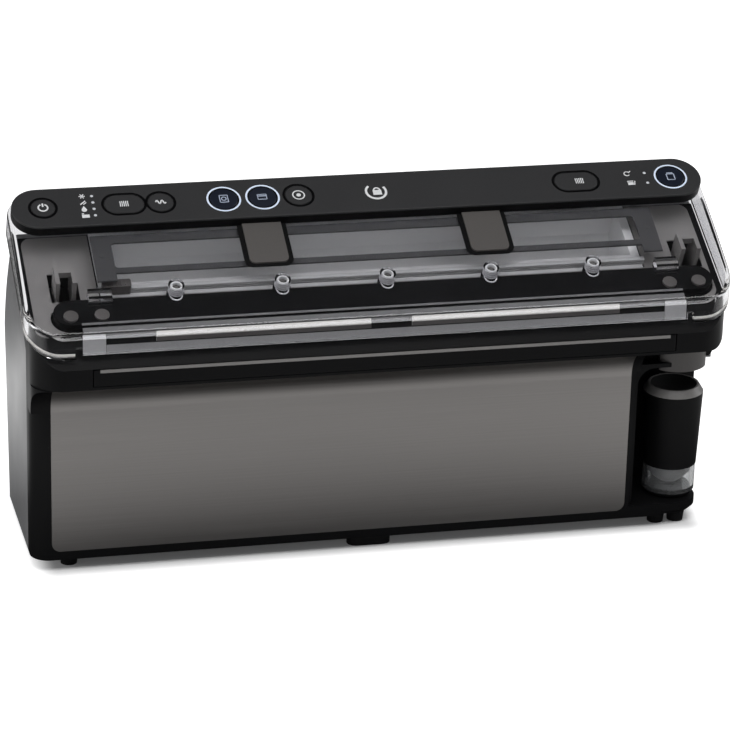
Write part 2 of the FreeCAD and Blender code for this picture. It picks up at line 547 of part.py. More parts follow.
core = box(50, 96, 66, 90, FLOOR, FLOOR + 38)
window = box(58, 88, 60, 95, FLOOR + 8, FLOOR + 30)
coil = box(58, 88, 62, 94, FLOOR + 8, FLOOR + 30)
save("transformer", core.cut(window))
save("transformer_coil", coil)
board_standoffs = []
board_x = DOCK_X - 107
power_board = box(board_x, board_x + 72, 14, 48, FLOOR + 6, FLOOR + 7.6)
for x in (board_x + 4, board_x + 68):
    for y in (18, 44):
        board_standoffs.append(Part.makeCylinder(2.5, 6, Vector(x, y, FLOOR)))
chips = [
    Part.makeCylinder(6, 15, Vector(board_x + 16, 28, FLOOR + 7.6)),
    box(board_x + 30, board_x + 42, 20, 32, FLOOR + 7.6, FLOOR + 18)]
save("power_board", fuse([power_board] + board_standoffs + chips))

# Lid: a smoked clear cover, rounded at the front corners, with hanging ears and screw bosses
mid_u = (FACE_U0 + STRIP_U0) / 2
outer_face = [tilted(FACE_U0, face_arc(FACE_U0)),
              (tilted(mid_u, face_arc(mid_u)), tilted(STRIP_U0, LID_FACE_N))]
EAR_BOTTOM = TILT_Z - 2.0
lid_outline = [
    (LID_FRONT_Y, EAR_BOTTOM), outer_face[0], outer_face[1], tilted(LID_REAR_U, LID_FACE_N),
    tilted(LID_REAR_U, 0), tilted(12, 0)]
lid_block = profile(lid_outline, -LID_HALF, LID_HALF)
lid_block = lid_block.common(plate(-LID_HALF, LID_HALF, LID_FRONT_Y, 160, 0, 300, 20.0, ("front",)))
lid_block = lid_block.common(on_slope(plate(-LID_HALF, LID_HALF, -60, LID_REAR_U, -60, 60, 15.0, ("rear",))))
lid_edges = []
for edge in lid_block.Edges:
    middle = edge.CenterOfMass
    u = (middle.y - TILT_Y) * cos_t + (middle.z - TILT_Z) * sin_t
    n = -(middle.y - TILT_Y) * sin_t + (middle.z - TILT_Z) * cos_t
    across = edge.BoundBox.XLength > 300 and abs(u - STRIP_U0) < 1
    if n > 9.0 and not across:
        lid_edges.append(edge)
lid_block = lid_block.makeFillet(2.6, lid_edges)
INSIDE_U = 7.2              # where the inner face meets the inside of the front wall
inside = profile([
    (LID_FRONT_Y + LID_WALL, 60), (LID_FRONT_Y + LID_WALL, EAR_BOTTOM + 10),
    tilted(INSIDE_U, face_arc(INSIDE_U, -LID_WALL)),
    (tilted(mid_u, face_arc(mid_u, -LID_WALL)), tilted(STRIP_U0, LID_FACE_N - LID_WALL)),
    tilted(LID_REAR_U - LID_WALL, LID_FACE_N - LID_WALL), tilted(LID_REAR_U - LID_WALL, -30),
    (90, 60)], -LID_HALF + LID_WALL, LID_HALF - LID_WALL)
inside = inside.common(
    plate(-LID_HALF + LID_WALL, LID_HALF - LID_WALL, LID_FRONT_Y + LID_WALL, 160, 0, 300, 17.0, ("front",)))
inside = inside.common(on_slope(
    plate(-LID_HALF + LID_WALL, LID_HALF - LID_WALL, -60, LID_REAR_U - LID_WALL, -60, 60, 12.0, ("rear",))))
lid = lid_block.cut(inside)
EAR_X = LID_HALF - 26.0     # the ears hang down from here outwards
NOTCH_WIDTH = 3.6
lid = lid.cut(box(-EAR_X, EAR_X, -40, 0, 0, TILT_Z))
for side in (-1, 1):
    x0, x1 = sorted((side * (EAR_X - NOTCH_WIDTH), side * EAR_X))
    lid = lid.cut(box(x0, x1, -40, 0, 0, TILT_Z + 3.5))
BOSS_U = RING_U + 10.4
BOSS_PITCH = 59.3
BOSS_X = [INNER_X + step * BOSS_PITCH for step in (-2, -1, 0, 1, 2)]
CARRIER_TOP = 4.6
CARRIER_BOTTOM = 1.5
END_BLOCK_X = LATCH_X - 17        # clear blocks that press on the ends of the carrier
bosses = []
for x in BOSS_X:
    boss_height = face_arc(BOSS_U, -LID_WALL) + 1.0 - CARRIER_TOP
    boss = Part.makeCylinder(4.5, boss_height, Vector(x, BOSS_U, CARRIER_TOP))
    bosses.append(on_slope(boss))
for side in (-1, 1):
    x = INNER_X + side * END_BLOCK_X
    block_top = face_arc(RING_U + 4, -LID_WALL) + 1.0
    bosses.append(on_slope(box(x - 6.5, x + 6.5, RING_U + 4, BOSS_U + 0.6, CARRIER_TOP, block_top)))
lid = fuse([lid] + bosses)
SCREW_RADIUS = 1.4
for x in BOSS_X:
    lid = lid.cut(on_slope(Part.makeCylinder(SCREW_RADIUS, 5.0, Vector(x, BOSS_U, CARRIER_TOP - 1))))
save("lid_shell", lid)

# Gasket carrier, gasket and screws under the lid
carrier = capsule(RING_HALF, RING_U, RING_RADIUS, CARRIER_BOTTOM, CARRIER_TOP, INNER_X)
ear_height = CARRIER_TOP - CARRIER_BOTTOM
ears = [Part.makeCylinder(4.9, ear_height, Vector(x, BOSS_U, CARRIER_BOTTOM)) for x in BOSS_X]
carrier = fuse([carrier] + ears)
carrier = carrier.cut(capsule(RING_HALF - 8, RING_U, 3.0, 0, CARRIER_BOTTOM + 1.6, INNER_X))
lid_screws = []
for x in BOSS_X:
    head = Part.makeCylinder(2.6, 1.6, Vector(x, BOSS_U, CARRIER_BOTTOM))
    screw = head.fuse(Part.makeCylinder(SCREW_RADIUS, 7.0, Vector(x, BOSS_U, CARRIER_BOTTOM)))
    carrier = carrier.cut(screw)
    screw = screw.cut(box(x - 1.8, x + 1.8, BOSS_U - 0.35, BOSS_U + 0.35, 0, CARRIER_BOTTOM + 0.6))
    lid_screws.append(on_slope(screw))
DISC_X = (END_BLOCK_X, LATCH_X)
DISC_U = RING_U - 3.4
discs = []
for side in (-1, 1):
    for x in DISC_X:
        disc = Part.makeCylinder(4.0, 1.2, Vector(INNER_X + side * x, DISC_U, CARRIER_TOP))
        discs.append(on_slope(disc))
save("gasket_carrier", on_slope(carrier))
save("carrier_discs", *discs)
save("lid_screws", *lid_screws)
save("upper_gasket", on_slope(ring(RING_HALF - 0.5, RING_U, RING_RADIUS - 0.5, 3.4, 0.0, CARRIER_BOTTOM)))

# Pressure strip behind the front edge of the lid: a black holder with two pale strips towards the front
HOLDER_Y = LID_FRONT_Y + LID_WALL + 0.8
STRIP_LOW = TILT_Z + 5.0
STRIP_HIGH = STRIP_LOW + 4.4
holder = profile([
    (HOLDER_Y, STRIP_LOW - 0.8), (HOLDER_Y, STRIP_HIGH - 1.6), (HOLDER_Y + 1.0, STRIP_HIGH + 0.2),
    tilted(SEAL_U1, 7.0), tilted(SEAL_U1, 0.0), tilted(SEAL_U0, 0.0)],
    -SEAL_HALF, SEAL_HALF)
PALE_X = ((-SEAL_HALF + 30, -11.0), (12.0, SEAL_HALF - 29))
pale = []
for x0, x1 in PALE_X:
    strip = profile([
        (HOLDER_Y - 0.5, STRIP_LOW), (HOLDER_Y - 0.5, STRIP_HIGH - 1.6), (HOLDER_Y + 0.6, STRIP_HIGH),
        (HOLDER_Y + 1.6, STRIP_HIGH), (HOLDER_Y + 1.6, STRIP_LOW)], x0, x1)
    holder = holder.cut(strip)
    pale.append(strip)
struts = []
for x in (-SEAL_HALF + 10, 0.0, SEAL_HALF - 10):
    strut_top = face_arc(SEAL_U0, -LID_WALL) - 0.1
    struts.append(on_slope(box(x - 5, x + 5, SEAL_U0 + 1.2, SEAL_U1 - 0.4, 6.0, strut_top)))
save("pressure_holder", fuse([holder] + struts))
save("pressure_strips", *pale)

# Dark frame behind the lid face round the window of the roll bay, open towards the carrier
WINDOW_HALF = BAY_HALF
FRAME_HALF = WINDOW_HALF + 11
FRAME_U0 = BAY_U0 - 7.6
FRAME_U1 = STRIP_U0 - 0.5
PANE_U0 = BAY_U0 + 1.4
PANE_U1 = STRIP_U0 - 6.5
low = face_outline(FRAME_U0, FRAME_U1, -LID_WALL - 0.25)
under = face_outline(FRAME_U0, FRAME_U1, -LID_WALL - 1.25)
frame_outline = [low[0], (low[1], low[2]), under[2], (under[1], under[0])]
frame = profile(frame_outline, INNER_X - FRAME_HALF, INNER_X + FRAME_HALF)
frame = frame.cut(on_slope(plate(INNER_X - WINDOW_HALF, INNER_X + WINDOW_HALF, PANE_U0, PANE_U1, 0, 60, 2.0)))
frame = frame.cut(on_slope(box(
    INNER_X - WINDOW_HALF, INNER_X + WINDOW_HALF, FRAME_U0 - 12, PANE_U0 - 3.8, 0, 60)))
pegs = []
for side in (-1, 1):
    peg_u = (PANE_U0 + PANE_U1) / 2
    peg = Vector(INNER_X + side * (FRAME_HALF - 5), peg_u, face_arc(peg_u, -LID_WALL - 0.8))
    pegs.append(on_slope(Part.makeCylinder(1.5, 1.0, peg)))
save("window_frame", fuse([frame] + pegs).common(lid_block.cut(lid)))

# Grey tabs on dark seats that lie on the lid face under the control strip
TAB_X = 63.0
TAB_OFFSET = 2.0
TAB_HALF = 11.0
TAB_U = STRIP_U0 - 29.5
SEAT_EDGE = 2.8
SEAT_SHEET = 0.6


def face_plate(x0, x1, u0, bottom, top, radius):
    """A plate that follows the lid face up to the control strip, with rounded lower corners."""
    u1 = STRIP_U0 - FIT
    low = face_outline(TAB_U - 10, u1, bottom)
    high = face_outline(TAB_U - 10, u1, top)
    sheet = profile([low[0], (low[1], low[2]), high[2], (high[1], high[0])], x0, x1)
    return sheet.common(on_slope(plate(x0, x1, u0, u1 + 20, 0, 60, radius, ("front",)))).cut(lid)


tabs = []
seats = []
for side in (-1, 1):
    x = TAB_OFFSET + side * TAB_X
    seat = face_plate(x - TAB_HALF - SEAT_EDGE, x + TAB_HALF + SEAT_EDGE, TAB_U - 2.0, 0.0, SEAT_SHEET, 5.0)
    tab = face_plate(x - TAB_HALF, x + TAB_HALF, TAB_U, SEAT_SHEET, SEAT_SHEET + 1.0, 3.5)
    seats.append(seat)
    tabs.append(tab)
save("tab_seats", *seats)
save("lid_tabs", *tabs)

# Latch hooks at both ends of the lid
hooks = []
hook_top = face_arc(LATCH_U, -LID_WALL) - 0.3
for side in (-1, 1):
    middle = INNER_X + side * LATCH_X
    bars = []
    for x in (middle - LATCH_SPREAD, middle + LATCH_SPREAD):
        bars.append(box(x - 1.2, x + 1.2, LATCH_U, LATCH_U + 13, -7, hook_top))
        bars.append(box(x - 1.2, x + 1.2, LATCH_U - 1.5, LATCH_U + 2, -7, -4.5))
    bars.append(box(middle - LATCH_SPREAD, middle + LATCH_SPREAD, LATCH_U + 8, LATCH_U + 13, 7.0, hook_top))
    hooks.append(on_slope(fuse(bars)))
save("latch_hooks", *hooks)

# Hinge brackets under the rear of the lid
brackets = []
for side in (-1, 1):
    x0 = side * HINGE_X - BRACKET_HALF
    x1 = side * HINGE_X + BRACKET_HALF
    bracket = box(x0, x1, HINGE_U - 3.4, HINGE_U + 3.4, HINGE_N, LID_FACE_N - LID_WALL)
    bracket = bracket.fuse(round_bar(
        BARREL_RADIUS, Vector(x0, HINGE_U, HINGE_N), Vector(x1, HINGE_U, HINGE_N)))
    bore = round_bar(
        PIN_RADIUS + RUNNING_GAP, Vector(x0 - 1, HINGE_U, HINGE_N), Vector(x1 + 1, HINGE_U, HINGE_N))
    brackets.append(on_slope(bracket.cut(bore).removeSplitter()))
save("hinge_brackets", *brackets)

# Control strip: housing, board, switches, cover, rings, lenses and buttons
strip_u = (STRIP_U0 + STRIP_U1) / 2
strip_r = (STRIP_U1 - STRIP_U0) / 2
cover_n = STRIP_TOP_N - COVER_SHEET
housing = capsule(STRIP_HALF, strip_u, strip_r, LID_FACE_N, cover_n)
housing = housing.cut(capsule(STRIP_HALF - 2, strip_u, strip_r - 2, LID_FACE_N + 1.4, cover_n + 1))
BOARD_N = LID_FACE_N + 1.4
board = capsule(STRIP_HALF - 2.5, strip_u, strip_r - 2.5, BOARD_N, BOARD_N + 1.2)
cover = capsule(STRIP_HALF, strip_u, strip_r, cover_n, STRIP_TOP_N)
cover_edges = [edge for edge in cover.Edges if edge.CenterOfMass.z > STRIP_TOP_N - 0.01]
cover = cover.makeFillet(0.6, cover_edges)
BUTTONS = (
    # name, x, radius, straight length, light ring round it
    ("power_button", -STRIP_HALF + 17.5, 6.5, 0.0, False),
    ("mode_button", -STRIP_HALF + 62.5, 7.0, 8.0, False),
    ("pulse_button", -STRIP_HALF + 83.0, 7.0, 0.0, False),
    ("vacuum_seal_button", -STRIP_HALF + 118.5, 7.7, 0.0, True),
    ("seal_button", -STRIP_HALF + 140.5, 7.7, 0.0, True),
    ("cancel_button", -STRIP_HALF + 161.0, 7.4, 0.0, False),
    ("accessory_mode_button", STRIP_HALF - 74.5, 7.0, 11.0, False),
    ("accessory_button", STRIP_HALF - 18.0, 7.7, 0.0, True),
)
BUTTON_GAP = 0.35
RING_LIGHT_IN = 8.7
RING_LIGHT_OUT = 9.7
rings = []
switches = []
switch_top = BOARD_N + 1.2 + 0.7
for name, x, radius, straight, lit in BUTTONS:
    reach = radius + straight / 2
    if straight:
        hole = capsule(reach + BUTTON_GAP, strip_u, radius + BUTTON_GAP, cover_n - 1, STRIP_TOP_N + 1, x)
        cap = capsule(reach, strip_u, radius, cover_n - 0.8, STRIP_TOP_N + 0.3, x)
        flange = capsule(reach + 0.9, strip_u, radius + 0.9, cover_n - 0.9, cover_n - 0.3, x)
    else:
        hole = Part.makeCylinder(radius + BUTTON_GAP, 5, Vector(x, strip_u, cover_n - 1))
        cap = Part.makeCylinder(radius, COVER_SHEET + 1.1, Vector(x, strip_u, cover_n - 0.8))
        flange = Part.makeCylinder(radius + 0.9, 0.6, Vector(x, strip_u, cover_n - 0.9))
    cover = cover.cut(hole)
    button = cap.fuse(flange).removeSplitter()
    top_edges = [edge for edge in button.Edges if edge.CenterOfMass.z > STRIP_TOP_N + 0.29]
    save(name, on_slope(button.makeChamfer(0.3, top_edges)))
    switches.append(box(x - 2.5, x + 2.5, strip_u - 2.5, strip_u + 2.5, BOARD_N + 1.2, switch_top))
    if lit:
        groove = Part.makeCylinder(RING_LIGHT_OUT, 1, Vector(x, strip_u, STRIP_TOP_N - 0.7))
        groove = groove.cut(Part.makeCylinder(RING_LIGHT_IN, 3, Vector(x, strip_u, STRIP_TOP_N - 2)))
        cover = cover.cut(groove)
        light = groove.common(box(x - 20, x + 20, 0, 200, 0, STRIP_TOP_N + 0.05))
        rings.append(on_slope(light))
LENSES = ((-STRIP_HALF + 45.5, (-7.5, -2.5, 2.5, 7.5)), (STRIP_HALF - 32.7, (-4.0, 4.0)))
lenses = []
for x, offsets in LENSES:
    for offset in offsets:
        lens = Part.makeCylinder(0.9, COVER_SHEET, Vector(x, strip_u + offset, cover_n))
        cover = cover.cut(lens)
        lenses.append(on_slope(lens))
save("control_housing", on_slope(housing))
save("control_board", on_slope(fuse([board] + switches)))
save("control_cover", on_slope(cover))
save("light_rings", *rings)
save("indicator_lenses", *lenses)

# Handheld sealer standing on the ledge
wand_base = LEDGE_TOP + 0.3
axis = Vector(WAND_X, WAND_Y, 0)
tube_bottom = CUP_TOP + MOVING_GAP
bore_radius = WAND_FOOT_RADIUS - 2.5
tube_foot = axis + Vector(0, 0, tube_bottom)
tube = Part.makeCone(WAND_FOOT_RADIUS, WAND_RADIUS, WAND_SHOULDER - tube_bottom, tube_foot)
tube = tube.cut(Part.makeCylinder(bore_radius, 60, axis + Vector(0, 0, tube_bottom - 2)))
save("handheld_body", tube)
DISH_RADIUS = 13.8
DISH_DEPTH = 4.0
dish_sphere = (DISH_RADIUS ** 2 + DISH_DEPTH ** 2) / (2 * DISH_DEPTH)
cap_foot = axis + Vector(0, 0, WAND_SHOULDER)
cap = Part.makeCone(WAND_RADIUS, DISH_RADIUS + 0.8, WAND_TOP - WAND_SHOULDER, cap_foot)
cap = cap.fuse(Part.makeCylinder(bore_radius, 6.5, axis + Vector(0, 0, WAND_SHOULDER - 6.0))).removeSplitter()
cap = cap.cut(Part.makeSphere(dish_sphere, axis + Vector(0, 0, WAND_TOP + dish_sphere - DISH_DEPTH)))
save("handheld_cap", cap)
cup_radius = WAND_FOOT_RADIUS - 0.4
cup = Part.makeCylinder(cup_radius, CUP_TOP - wand_base - 3, axis + Vector(0, 0, wand_base + 3))
cup = cup.cut(Part.makeCylinder(cup_radius - 2.2, 40, axis + Vector(0, 0, wand_base + 5)))
cup = cup.cut(Part.makeCylinder(5.0, 40, axis + Vector(0, 0, 0)))
save("handheld_reservoir", cup)
seal = Part.makeCone(cup_radius - 2.5, cup_radius - 0.5, 3, axis + Vector(0, 0, wand_base))
seal = seal.cut(Part.makeCylinder(5.0, 20, axis))
save("handheld_nozzle", seal)
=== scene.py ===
# %% [markdown]
# # A countertop vacuum sealer
# The sealer is a long, low kitchen appliance. A black body with a brushed steel front carries a sloping
# smoked lid, a strip of touch buttons runs along the top, and a small handheld sealer stands in a bay at
# the right. The construction is already modelled as solids. This lesson gives those solids their finishes,
# adds the small printed and moulded details, and sets up a plain product photograph.

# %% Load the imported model
import math

import bmesh
import bpy
from mathutils import Matrix, Vector


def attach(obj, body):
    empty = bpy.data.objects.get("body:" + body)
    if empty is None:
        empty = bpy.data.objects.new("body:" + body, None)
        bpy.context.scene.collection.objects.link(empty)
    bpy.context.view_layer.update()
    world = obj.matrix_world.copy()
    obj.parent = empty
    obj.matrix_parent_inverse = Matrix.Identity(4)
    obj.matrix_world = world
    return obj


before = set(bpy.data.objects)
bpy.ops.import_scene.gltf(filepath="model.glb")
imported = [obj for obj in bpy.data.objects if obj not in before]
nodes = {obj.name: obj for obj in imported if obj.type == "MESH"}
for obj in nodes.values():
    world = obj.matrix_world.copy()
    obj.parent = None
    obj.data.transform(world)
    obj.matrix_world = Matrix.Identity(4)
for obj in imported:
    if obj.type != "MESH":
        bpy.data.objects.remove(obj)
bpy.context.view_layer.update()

scene = bpy.context.scene
MM = 0.001

# %% [markdown]
# ## Colour and node helpers
# Colours on a screen are stored with the sRGB curve, but a shader counts light in a straight line. One
# function turns a hex colour into linear numbers, so every colour below can be written as a designer would
# write it. A second function adds one node with its settings and links, which keeps each material short
# enough to read as a recipe.

# %% Helpers for colours and nodes
def linear(hex_colour, factor=1.0):
    """An sRGB hex colour as linear red, green, blue and alpha, made darker or lighter by a factor."""
    values = [int(hex_colour[place:place + 2], 16) / 255 for place in (1, 3, 5)]
    light = [v / 12.92 if v <= 0.04045 else ((v + 0.055) / 1.055) ** 2.4 for v in values]
    return [min(1.0, factor * v) for v in light] + [1.0]


def add_node(tree, kind, inputs=(), **settings):
    """Adds a node, sets its properties, and fills the named inputs or links them to sockets or nodes."""
    node = tree.nodes.new(kind)
    for name, value in settings.items():
        setattr(node, name, value)
    for name, value in dict(inputs).items():
        if isinstance(value, bpy.types.Node):
            value = value.outputs[0]
        if isinstance(value, bpy.types.NodeSocket):
            tree.links.new(value, node.inputs[name])
        else:
            node.inputs[name].default_value = value
    return node


def new_material(name):
    """An empty material and its node tree."""
    material = bpy.data.materials.new(name)
    material.use_nodes = True
    material.node_tree.nodes.clear()
    return material, material.node_tree


def scale_for(size_mm):
    """Texture scale at which one grain of the pattern measures about size_mm."""
    return 1 / (size_mm * MM)


print("a mid grey of #808080 is", round(linear("#808080")[0], 3), "in linear light")

# %% [markdown]
# ## Camera
# A product photograph is taken with a long lens from far away, so that parallel edges stay nearly parallel.
# Here the camera looks from a little to the left and from above, and it is rolled by about a degree and a
# half, which lifts the right end of the sealer in the picture. Aiming at a point, rather than shifting the
# lens, keeps the other views centred.

# %% Camera
CAMERA_PLACE = Vector((-422.2, -1715.7, 772.7)) * MM
CAMERA_AIM = Vector((2.3, -0.7, 91.35)) * MM
CAMERA_ROLL = math.radians(1.51)
LENS_MM = 162.8
SENSOR_MM = 36.0
camera_data = bpy.data.cameras.new("camera")
camera_data.lens = LENS_MM
camera_data.sensor_width = SENSOR_MM
camera = bpy.data.objects.new("camera", camera_data)
scene.collection.objects.link(camera)
look = (CAMERA_AIM - CAMERA_PLACE).to_track_quat("-Z", "Y").to_matrix()
roll = Matrix.Rotation(CAMERA_ROLL, 3, "Z")
camera.matrix_world = Matrix.Translation(CAMERA_PLACE) @ (look @ roll).to_4x4()
scene.camera = camera
print("camera is", round((CAMERA_AIM - CAMERA_PLACE).length, 2), "m from the sealer")

# %% [markdown]
# ## Table
# The picture has a white background and a tight shadow under the feet. A real studio does this with a white
# table, a broad lamp overhead and softer ones at the sides. Here the table looks different to each kind of
# ray, and only its plain matte white lights the object, so the finishes keep their own tones. The camera sees
# it glow, with a painted shadow that is full under the foot print and fades with the distance from it.

# %% Table as the camera sees it
OVAL = (0.35, 1.0, 0.0)             # steps along x count less, so equal distances lie on wide ovals
# The shadow on the table is painted: a mask round the foot print dims the glow that the camera sees.
FOOT_MIDDLE = (0.0, 0.008, 0.0)     # middle and half size of the ground in full shadow, in metres
FOOT_HALF = (0.182, 0.052, 1.0)
SHADOW_REACH = 0.019                # from there the shadow fades over this distance
SHADOW_LEVEL = 0.05
WHITE_FADE = {"From Min": 0.3, "From Max": 1.5, "To Min": 0.92, "To Max": 0.95}    # strength over distance
floor_material, tree = new_material("white_table")
place = add_node(tree, "ShaderNodeTexCoord").outputs["Object"]
flat = add_node(tree, "ShaderNodeMapping", {"Vector": place, "Scale": OVAL})
away = add_node(tree, "ShaderNodeVectorMath", {0: flat}, operation="LENGTH").outputs["Value"]
white = add_node(tree, "ShaderNodeMapRange", {"Value": away, **WHITE_FADE})
off = add_node(tree, "ShaderNodeVectorMath", {0: place, 1: FOOT_MIDDLE}, operation="SUBTRACT")
off = add_node(tree, "ShaderNodeVectorMath", {0: off}, operation="ABSOLUTE")
past = add_node(tree, "ShaderNodeVectorMath", {0: off, 1: FOOT_HALF}, operation="SUBTRACT")
past = add_node(tree, "ShaderNodeVectorMath", {0: past, 1: (0.0, 0.0, 0.0)}, operation="MAXIMUM")
gap = add_node(tree, "ShaderNodeVectorMath", {0: past}, operation="LENGTH")
# Painted shadow: the glow is dimmed round the foot print in place of a cast shadow.
clear = add_node(tree, "ShaderNodeMapRange", {
    "Value": gap.outputs["Value"], "From Max": SHADOW_REACH, "To Min": SHADOW_LEVEL},
    interpolation_type="SMOOTHSTEP")
level = add_node(tree, "ShaderNodeMath", {0: clear, 1: white}, operation="MULTIPLY")
table = add_node(tree, "ShaderNodeBsdfDiffuse", {"Color": linear("#EDEDED")})
glow = add_node(tree, "ShaderNodeEmission", {"Color": linear("#FFFFFF"), "Strength": level})
lit = add_node(tree, "ShaderNodeAddShader", {0: table, 1: glow})
print("shadow fades over", SHADOW_REACH / MM, "mm")

# %% [markdown]
# ## Table in reflections
# A reflection sees a dark table with a bright card lying round the sealer, which gives the steel its sheen
# and leaves the lid clear. The card brightens away from the sealer and then ends. A ray that came through the
# clear plastic sees the table dark in front, as if a black cloth hung there, and white behind.

# %% Table as other rays see it
CARD_START = 0.09                   # distances on the ovals, in metres
CARD_PEAK = 0.27
CARD_END = 0.36
CARD_LOW = 0.03                     # strengths
CARD_HIGH = 1.5
PAST_CARD = 0.06
CLOTH_LEVEL = 0.06
CLOTH_FADE = 0.1                    # the cloth gives way to white from this far in front to this far behind
FLOOR_HALF = 6.0
rise = add_node(tree, "ShaderNodeMapRange", {
    "Value": away, "From Min": CARD_START, "From Max": CARD_PEAK, "To Min": CARD_LOW, "To Max": CARD_HIGH})
fall = add_node(tree, "ShaderNodeMapRange", {
    "Value": away, "From Min": CARD_PEAK, "From Max": CARD_END, "To Min": 1.0, "To Max": PAST_CARD})
card = add_node(tree, "ShaderNodeMath", {0: rise, 1: fall}, operation="MULTIPLY")
mirrored = add_node(tree, "ShaderNodeEmission", {"Color": linear("#FFFFFF"), "Strength": card})
ground = add_node(tree, "ShaderNodeSeparateXYZ", {0: place})
behind = add_node(tree, "ShaderNodeMapRange", {
    "Value": ground.outputs["Y"], "From Min": -CLOTH_FADE, "From Max": CLOTH_FADE,
    "To Min": CLOTH_LEVEL, "To Max": 1.0})
through = add_node(tree, "ShaderNodeEmission", {"Color": linear("#FFFFFF"), "Strength": behind})
path = add_node(tree, "ShaderNodeLightPath")
shown = table
for ray, surface in (("Camera", lit), ("Glossy", mirrored), ("Transmission", through)):
    shown = add_node(tree, "ShaderNodeMixShader", {
        0: path.outputs["Is " + ray + " Ray"], 1: shown, 2: surface})
add_node(tree, "ShaderNodeOutputMaterial", {"Surface": shown})
floor_mesh = bpy.data.meshes.new("floor")
corners = [(-FLOOR_HALF, -FLOOR_HALF, 0), (FLOOR_HALF, -FLOOR_HALF, 0),
           (FLOOR_HALF, FLOOR_HALF, 0), (-FLOOR_HALF, FLOOR_HALF, 0)]
floor_mesh.from_pydata(corners, [], [(0, 1, 2, 3)])
floor_mesh.materials.append(floor_material)
floor = bpy.data.objects.new("floor", floor_mesh)
scene.collection.objects.link(floor)
print("table is", 2 * FLOOR_HALF, "m wide")

# %% [markdown]
# ## Room
# A glossy surface is a mirror for the room, so the room is darker overhead than near the horizon. Then the
# smoked lid reflects little and stays see-through, and the steel front, which looks at the horizon, is
# bright. The camera, also through the clear plastic, sees a white room that is dark only high up.

# %% Room
# Strength against the upward part of a direction, which is 0 at the horizon and 1 overhead
MIRRORED_FADE = {"From Min": 0.1, "From Max": 0.85, "To Min": 0.4, "To Max": 0.03}
SEEN_FADE = {"From Min": 0.35, "From Max": 0.75, "To Min": 1.0, "To Max": 0.03}
world = bpy.data.worlds.new("studio")
world.use_nodes = True
tree = world.node_tree
tree.nodes.clear()
path = add_node(tree, "ShaderNodeLightPath")
seen = add_node(tree, "ShaderNodeMath", {
    0: path.outputs["Is Camera Ray"], 1: path.outputs["Is Transmission Ray"]}, operation="MAXIMUM")
place = add_node(tree, "ShaderNodeTexCoord")
upward = add_node(tree, "ShaderNodeSeparateXYZ", {0: place.outputs["Generated"]}).outputs["Z"]
ceiling = add_node(tree, "ShaderNodeMapRange", {"Value": upward, **MIRRORED_FADE})
horizon = add_node(tree, "ShaderNodeMapRange", {"Value": upward, **SEEN_FADE})
white = add_node(tree, "ShaderNodeBackground", {"Color": linear("#FFFFFF"), "Strength": horizon})
room = add_node(tree, "ShaderNodeBackground", {"Color": linear("#F4F6FA"), "Strength": ceiling})
both = add_node(tree, "ShaderNodeMixShader", {0: seen, 1: room, 2: white})
add_node(tree, "ShaderNodeOutputWorld", {"Surface": both})
scene.world = world
scene.view_settings.view_transform = "Standard"
print("room:", world.name)

# %% [markdown]
# ## Lamps
# One broad lamp hangs overhead, a little in front of the sealer. Two weak ones at the sides brighten the ends
# and the rear cover.

# %% Softboxes
LAMP_AIM = Vector((0.0, 0.0, 0.1))
LAMPS = (
    # name, place, width, height, power
    ("overhead_softbox", Vector((0.0, -0.9, 1.9)), 1.8, 1.0, 27.0),
    ("left_softbox", Vector((-1.8, 0.0, 0.45)), 1.2, 0.5, 8.0),
    ("right_softbox", Vector((1.8, 0.2, 0.7)), 0.6, 1.2, 5.0),
)


def softbox(name, place, width, height, power):
    """A rectangular studio lamp that points at the sealer."""
    data = bpy.data.lights.new(name, "AREA")
    data.shape = "RECTANGLE"
    data.size = width
    data.size_y = height
    data.energy = power
    lamp = bpy.data.objects.new(name, data)
    aim = (LAMP_AIM - place).to_track_quat("-Z", "Y").to_matrix().to_4x4()
    lamp.matrix_world = Matrix.Translation(place) @ aim
    scene.collection.objects.link(lamp)


for lamp in LAMPS:
    softbox(*lamp)
print(len(LAMPS), "lamps")

# %% [markdown]
# ## Moulded plastics
# Most of the sealer is ABS, moulded in steel tools whose surface was etched to a fine grain. The grain
# scatters the reflections, so the plastic looks satin instead of wet. Real grain is a few tenths of a
# millimetre wide, which is finer than a pixel here, so it is drawn about a millimetre wide. Handling leaves
# broad, faint patches that are a little glossier, and a second, larger pattern makes those.

# %% Moulded ABS in eight colours
ABS_IOR = 1.54
PATCH_MM = 45.0             # size of the handling patches
GRAIN_DEPTH_MM = 0.1
NOISE_RANGE = {"From Min": 0.3, "From Max": 0.7}    # most values of a noise lie in it


def moulded_plastic(name, colour, roughness, grain_mm, depth, shine=0.5, ior=ABS_IOR):
    """An injection moulded plastic with an etched grain and faint handling patches."""
    material, tree = new_material(name)
    place = add_node(tree, "ShaderNodeTexCoord")
    grain = add_node(tree, "ShaderNodeTexNoise", {
        "Vector": place.outputs["Object"], "Scale": scale_for(grain_mm), "Detail": 2.0})
    patches = add_node(tree, "ShaderNodeTexNoise", {
        "Vector": place.outputs["Object"], "Scale": scale_for(PATCH_MM), "Detail": 3.0})
    sheen = add_node(tree, "ShaderNodeMapRange", {
        "Value": patches.outputs["Fac"], **NOISE_RANGE,
        "To Min": roughness - 0.05, "To Max": roughness + 0.06})
    tone = add_node(tree, "ShaderNodeMixRGB", {
        "Fac": grain.outputs["Fac"], "Color1": linear(colour, 0.9), "Color2": linear(colour, 1.1)})
    bump = add_node(tree, "ShaderNodeBump", {
        "Height": grain.outputs["Fac"], "Strength": depth, "Distance": GRAIN_DEPTH_MM * MM})
    shader = add_node(tree, "ShaderNodeBsdfPrincipled", {
        "Base Color": tone, "Roughness": sheen, "IOR": ior,
        "Specular IOR Level": shine, "Normal": bump})
    add_node(tree, "ShaderNodeOutputMaterial", {"Surface": shader})
    return material


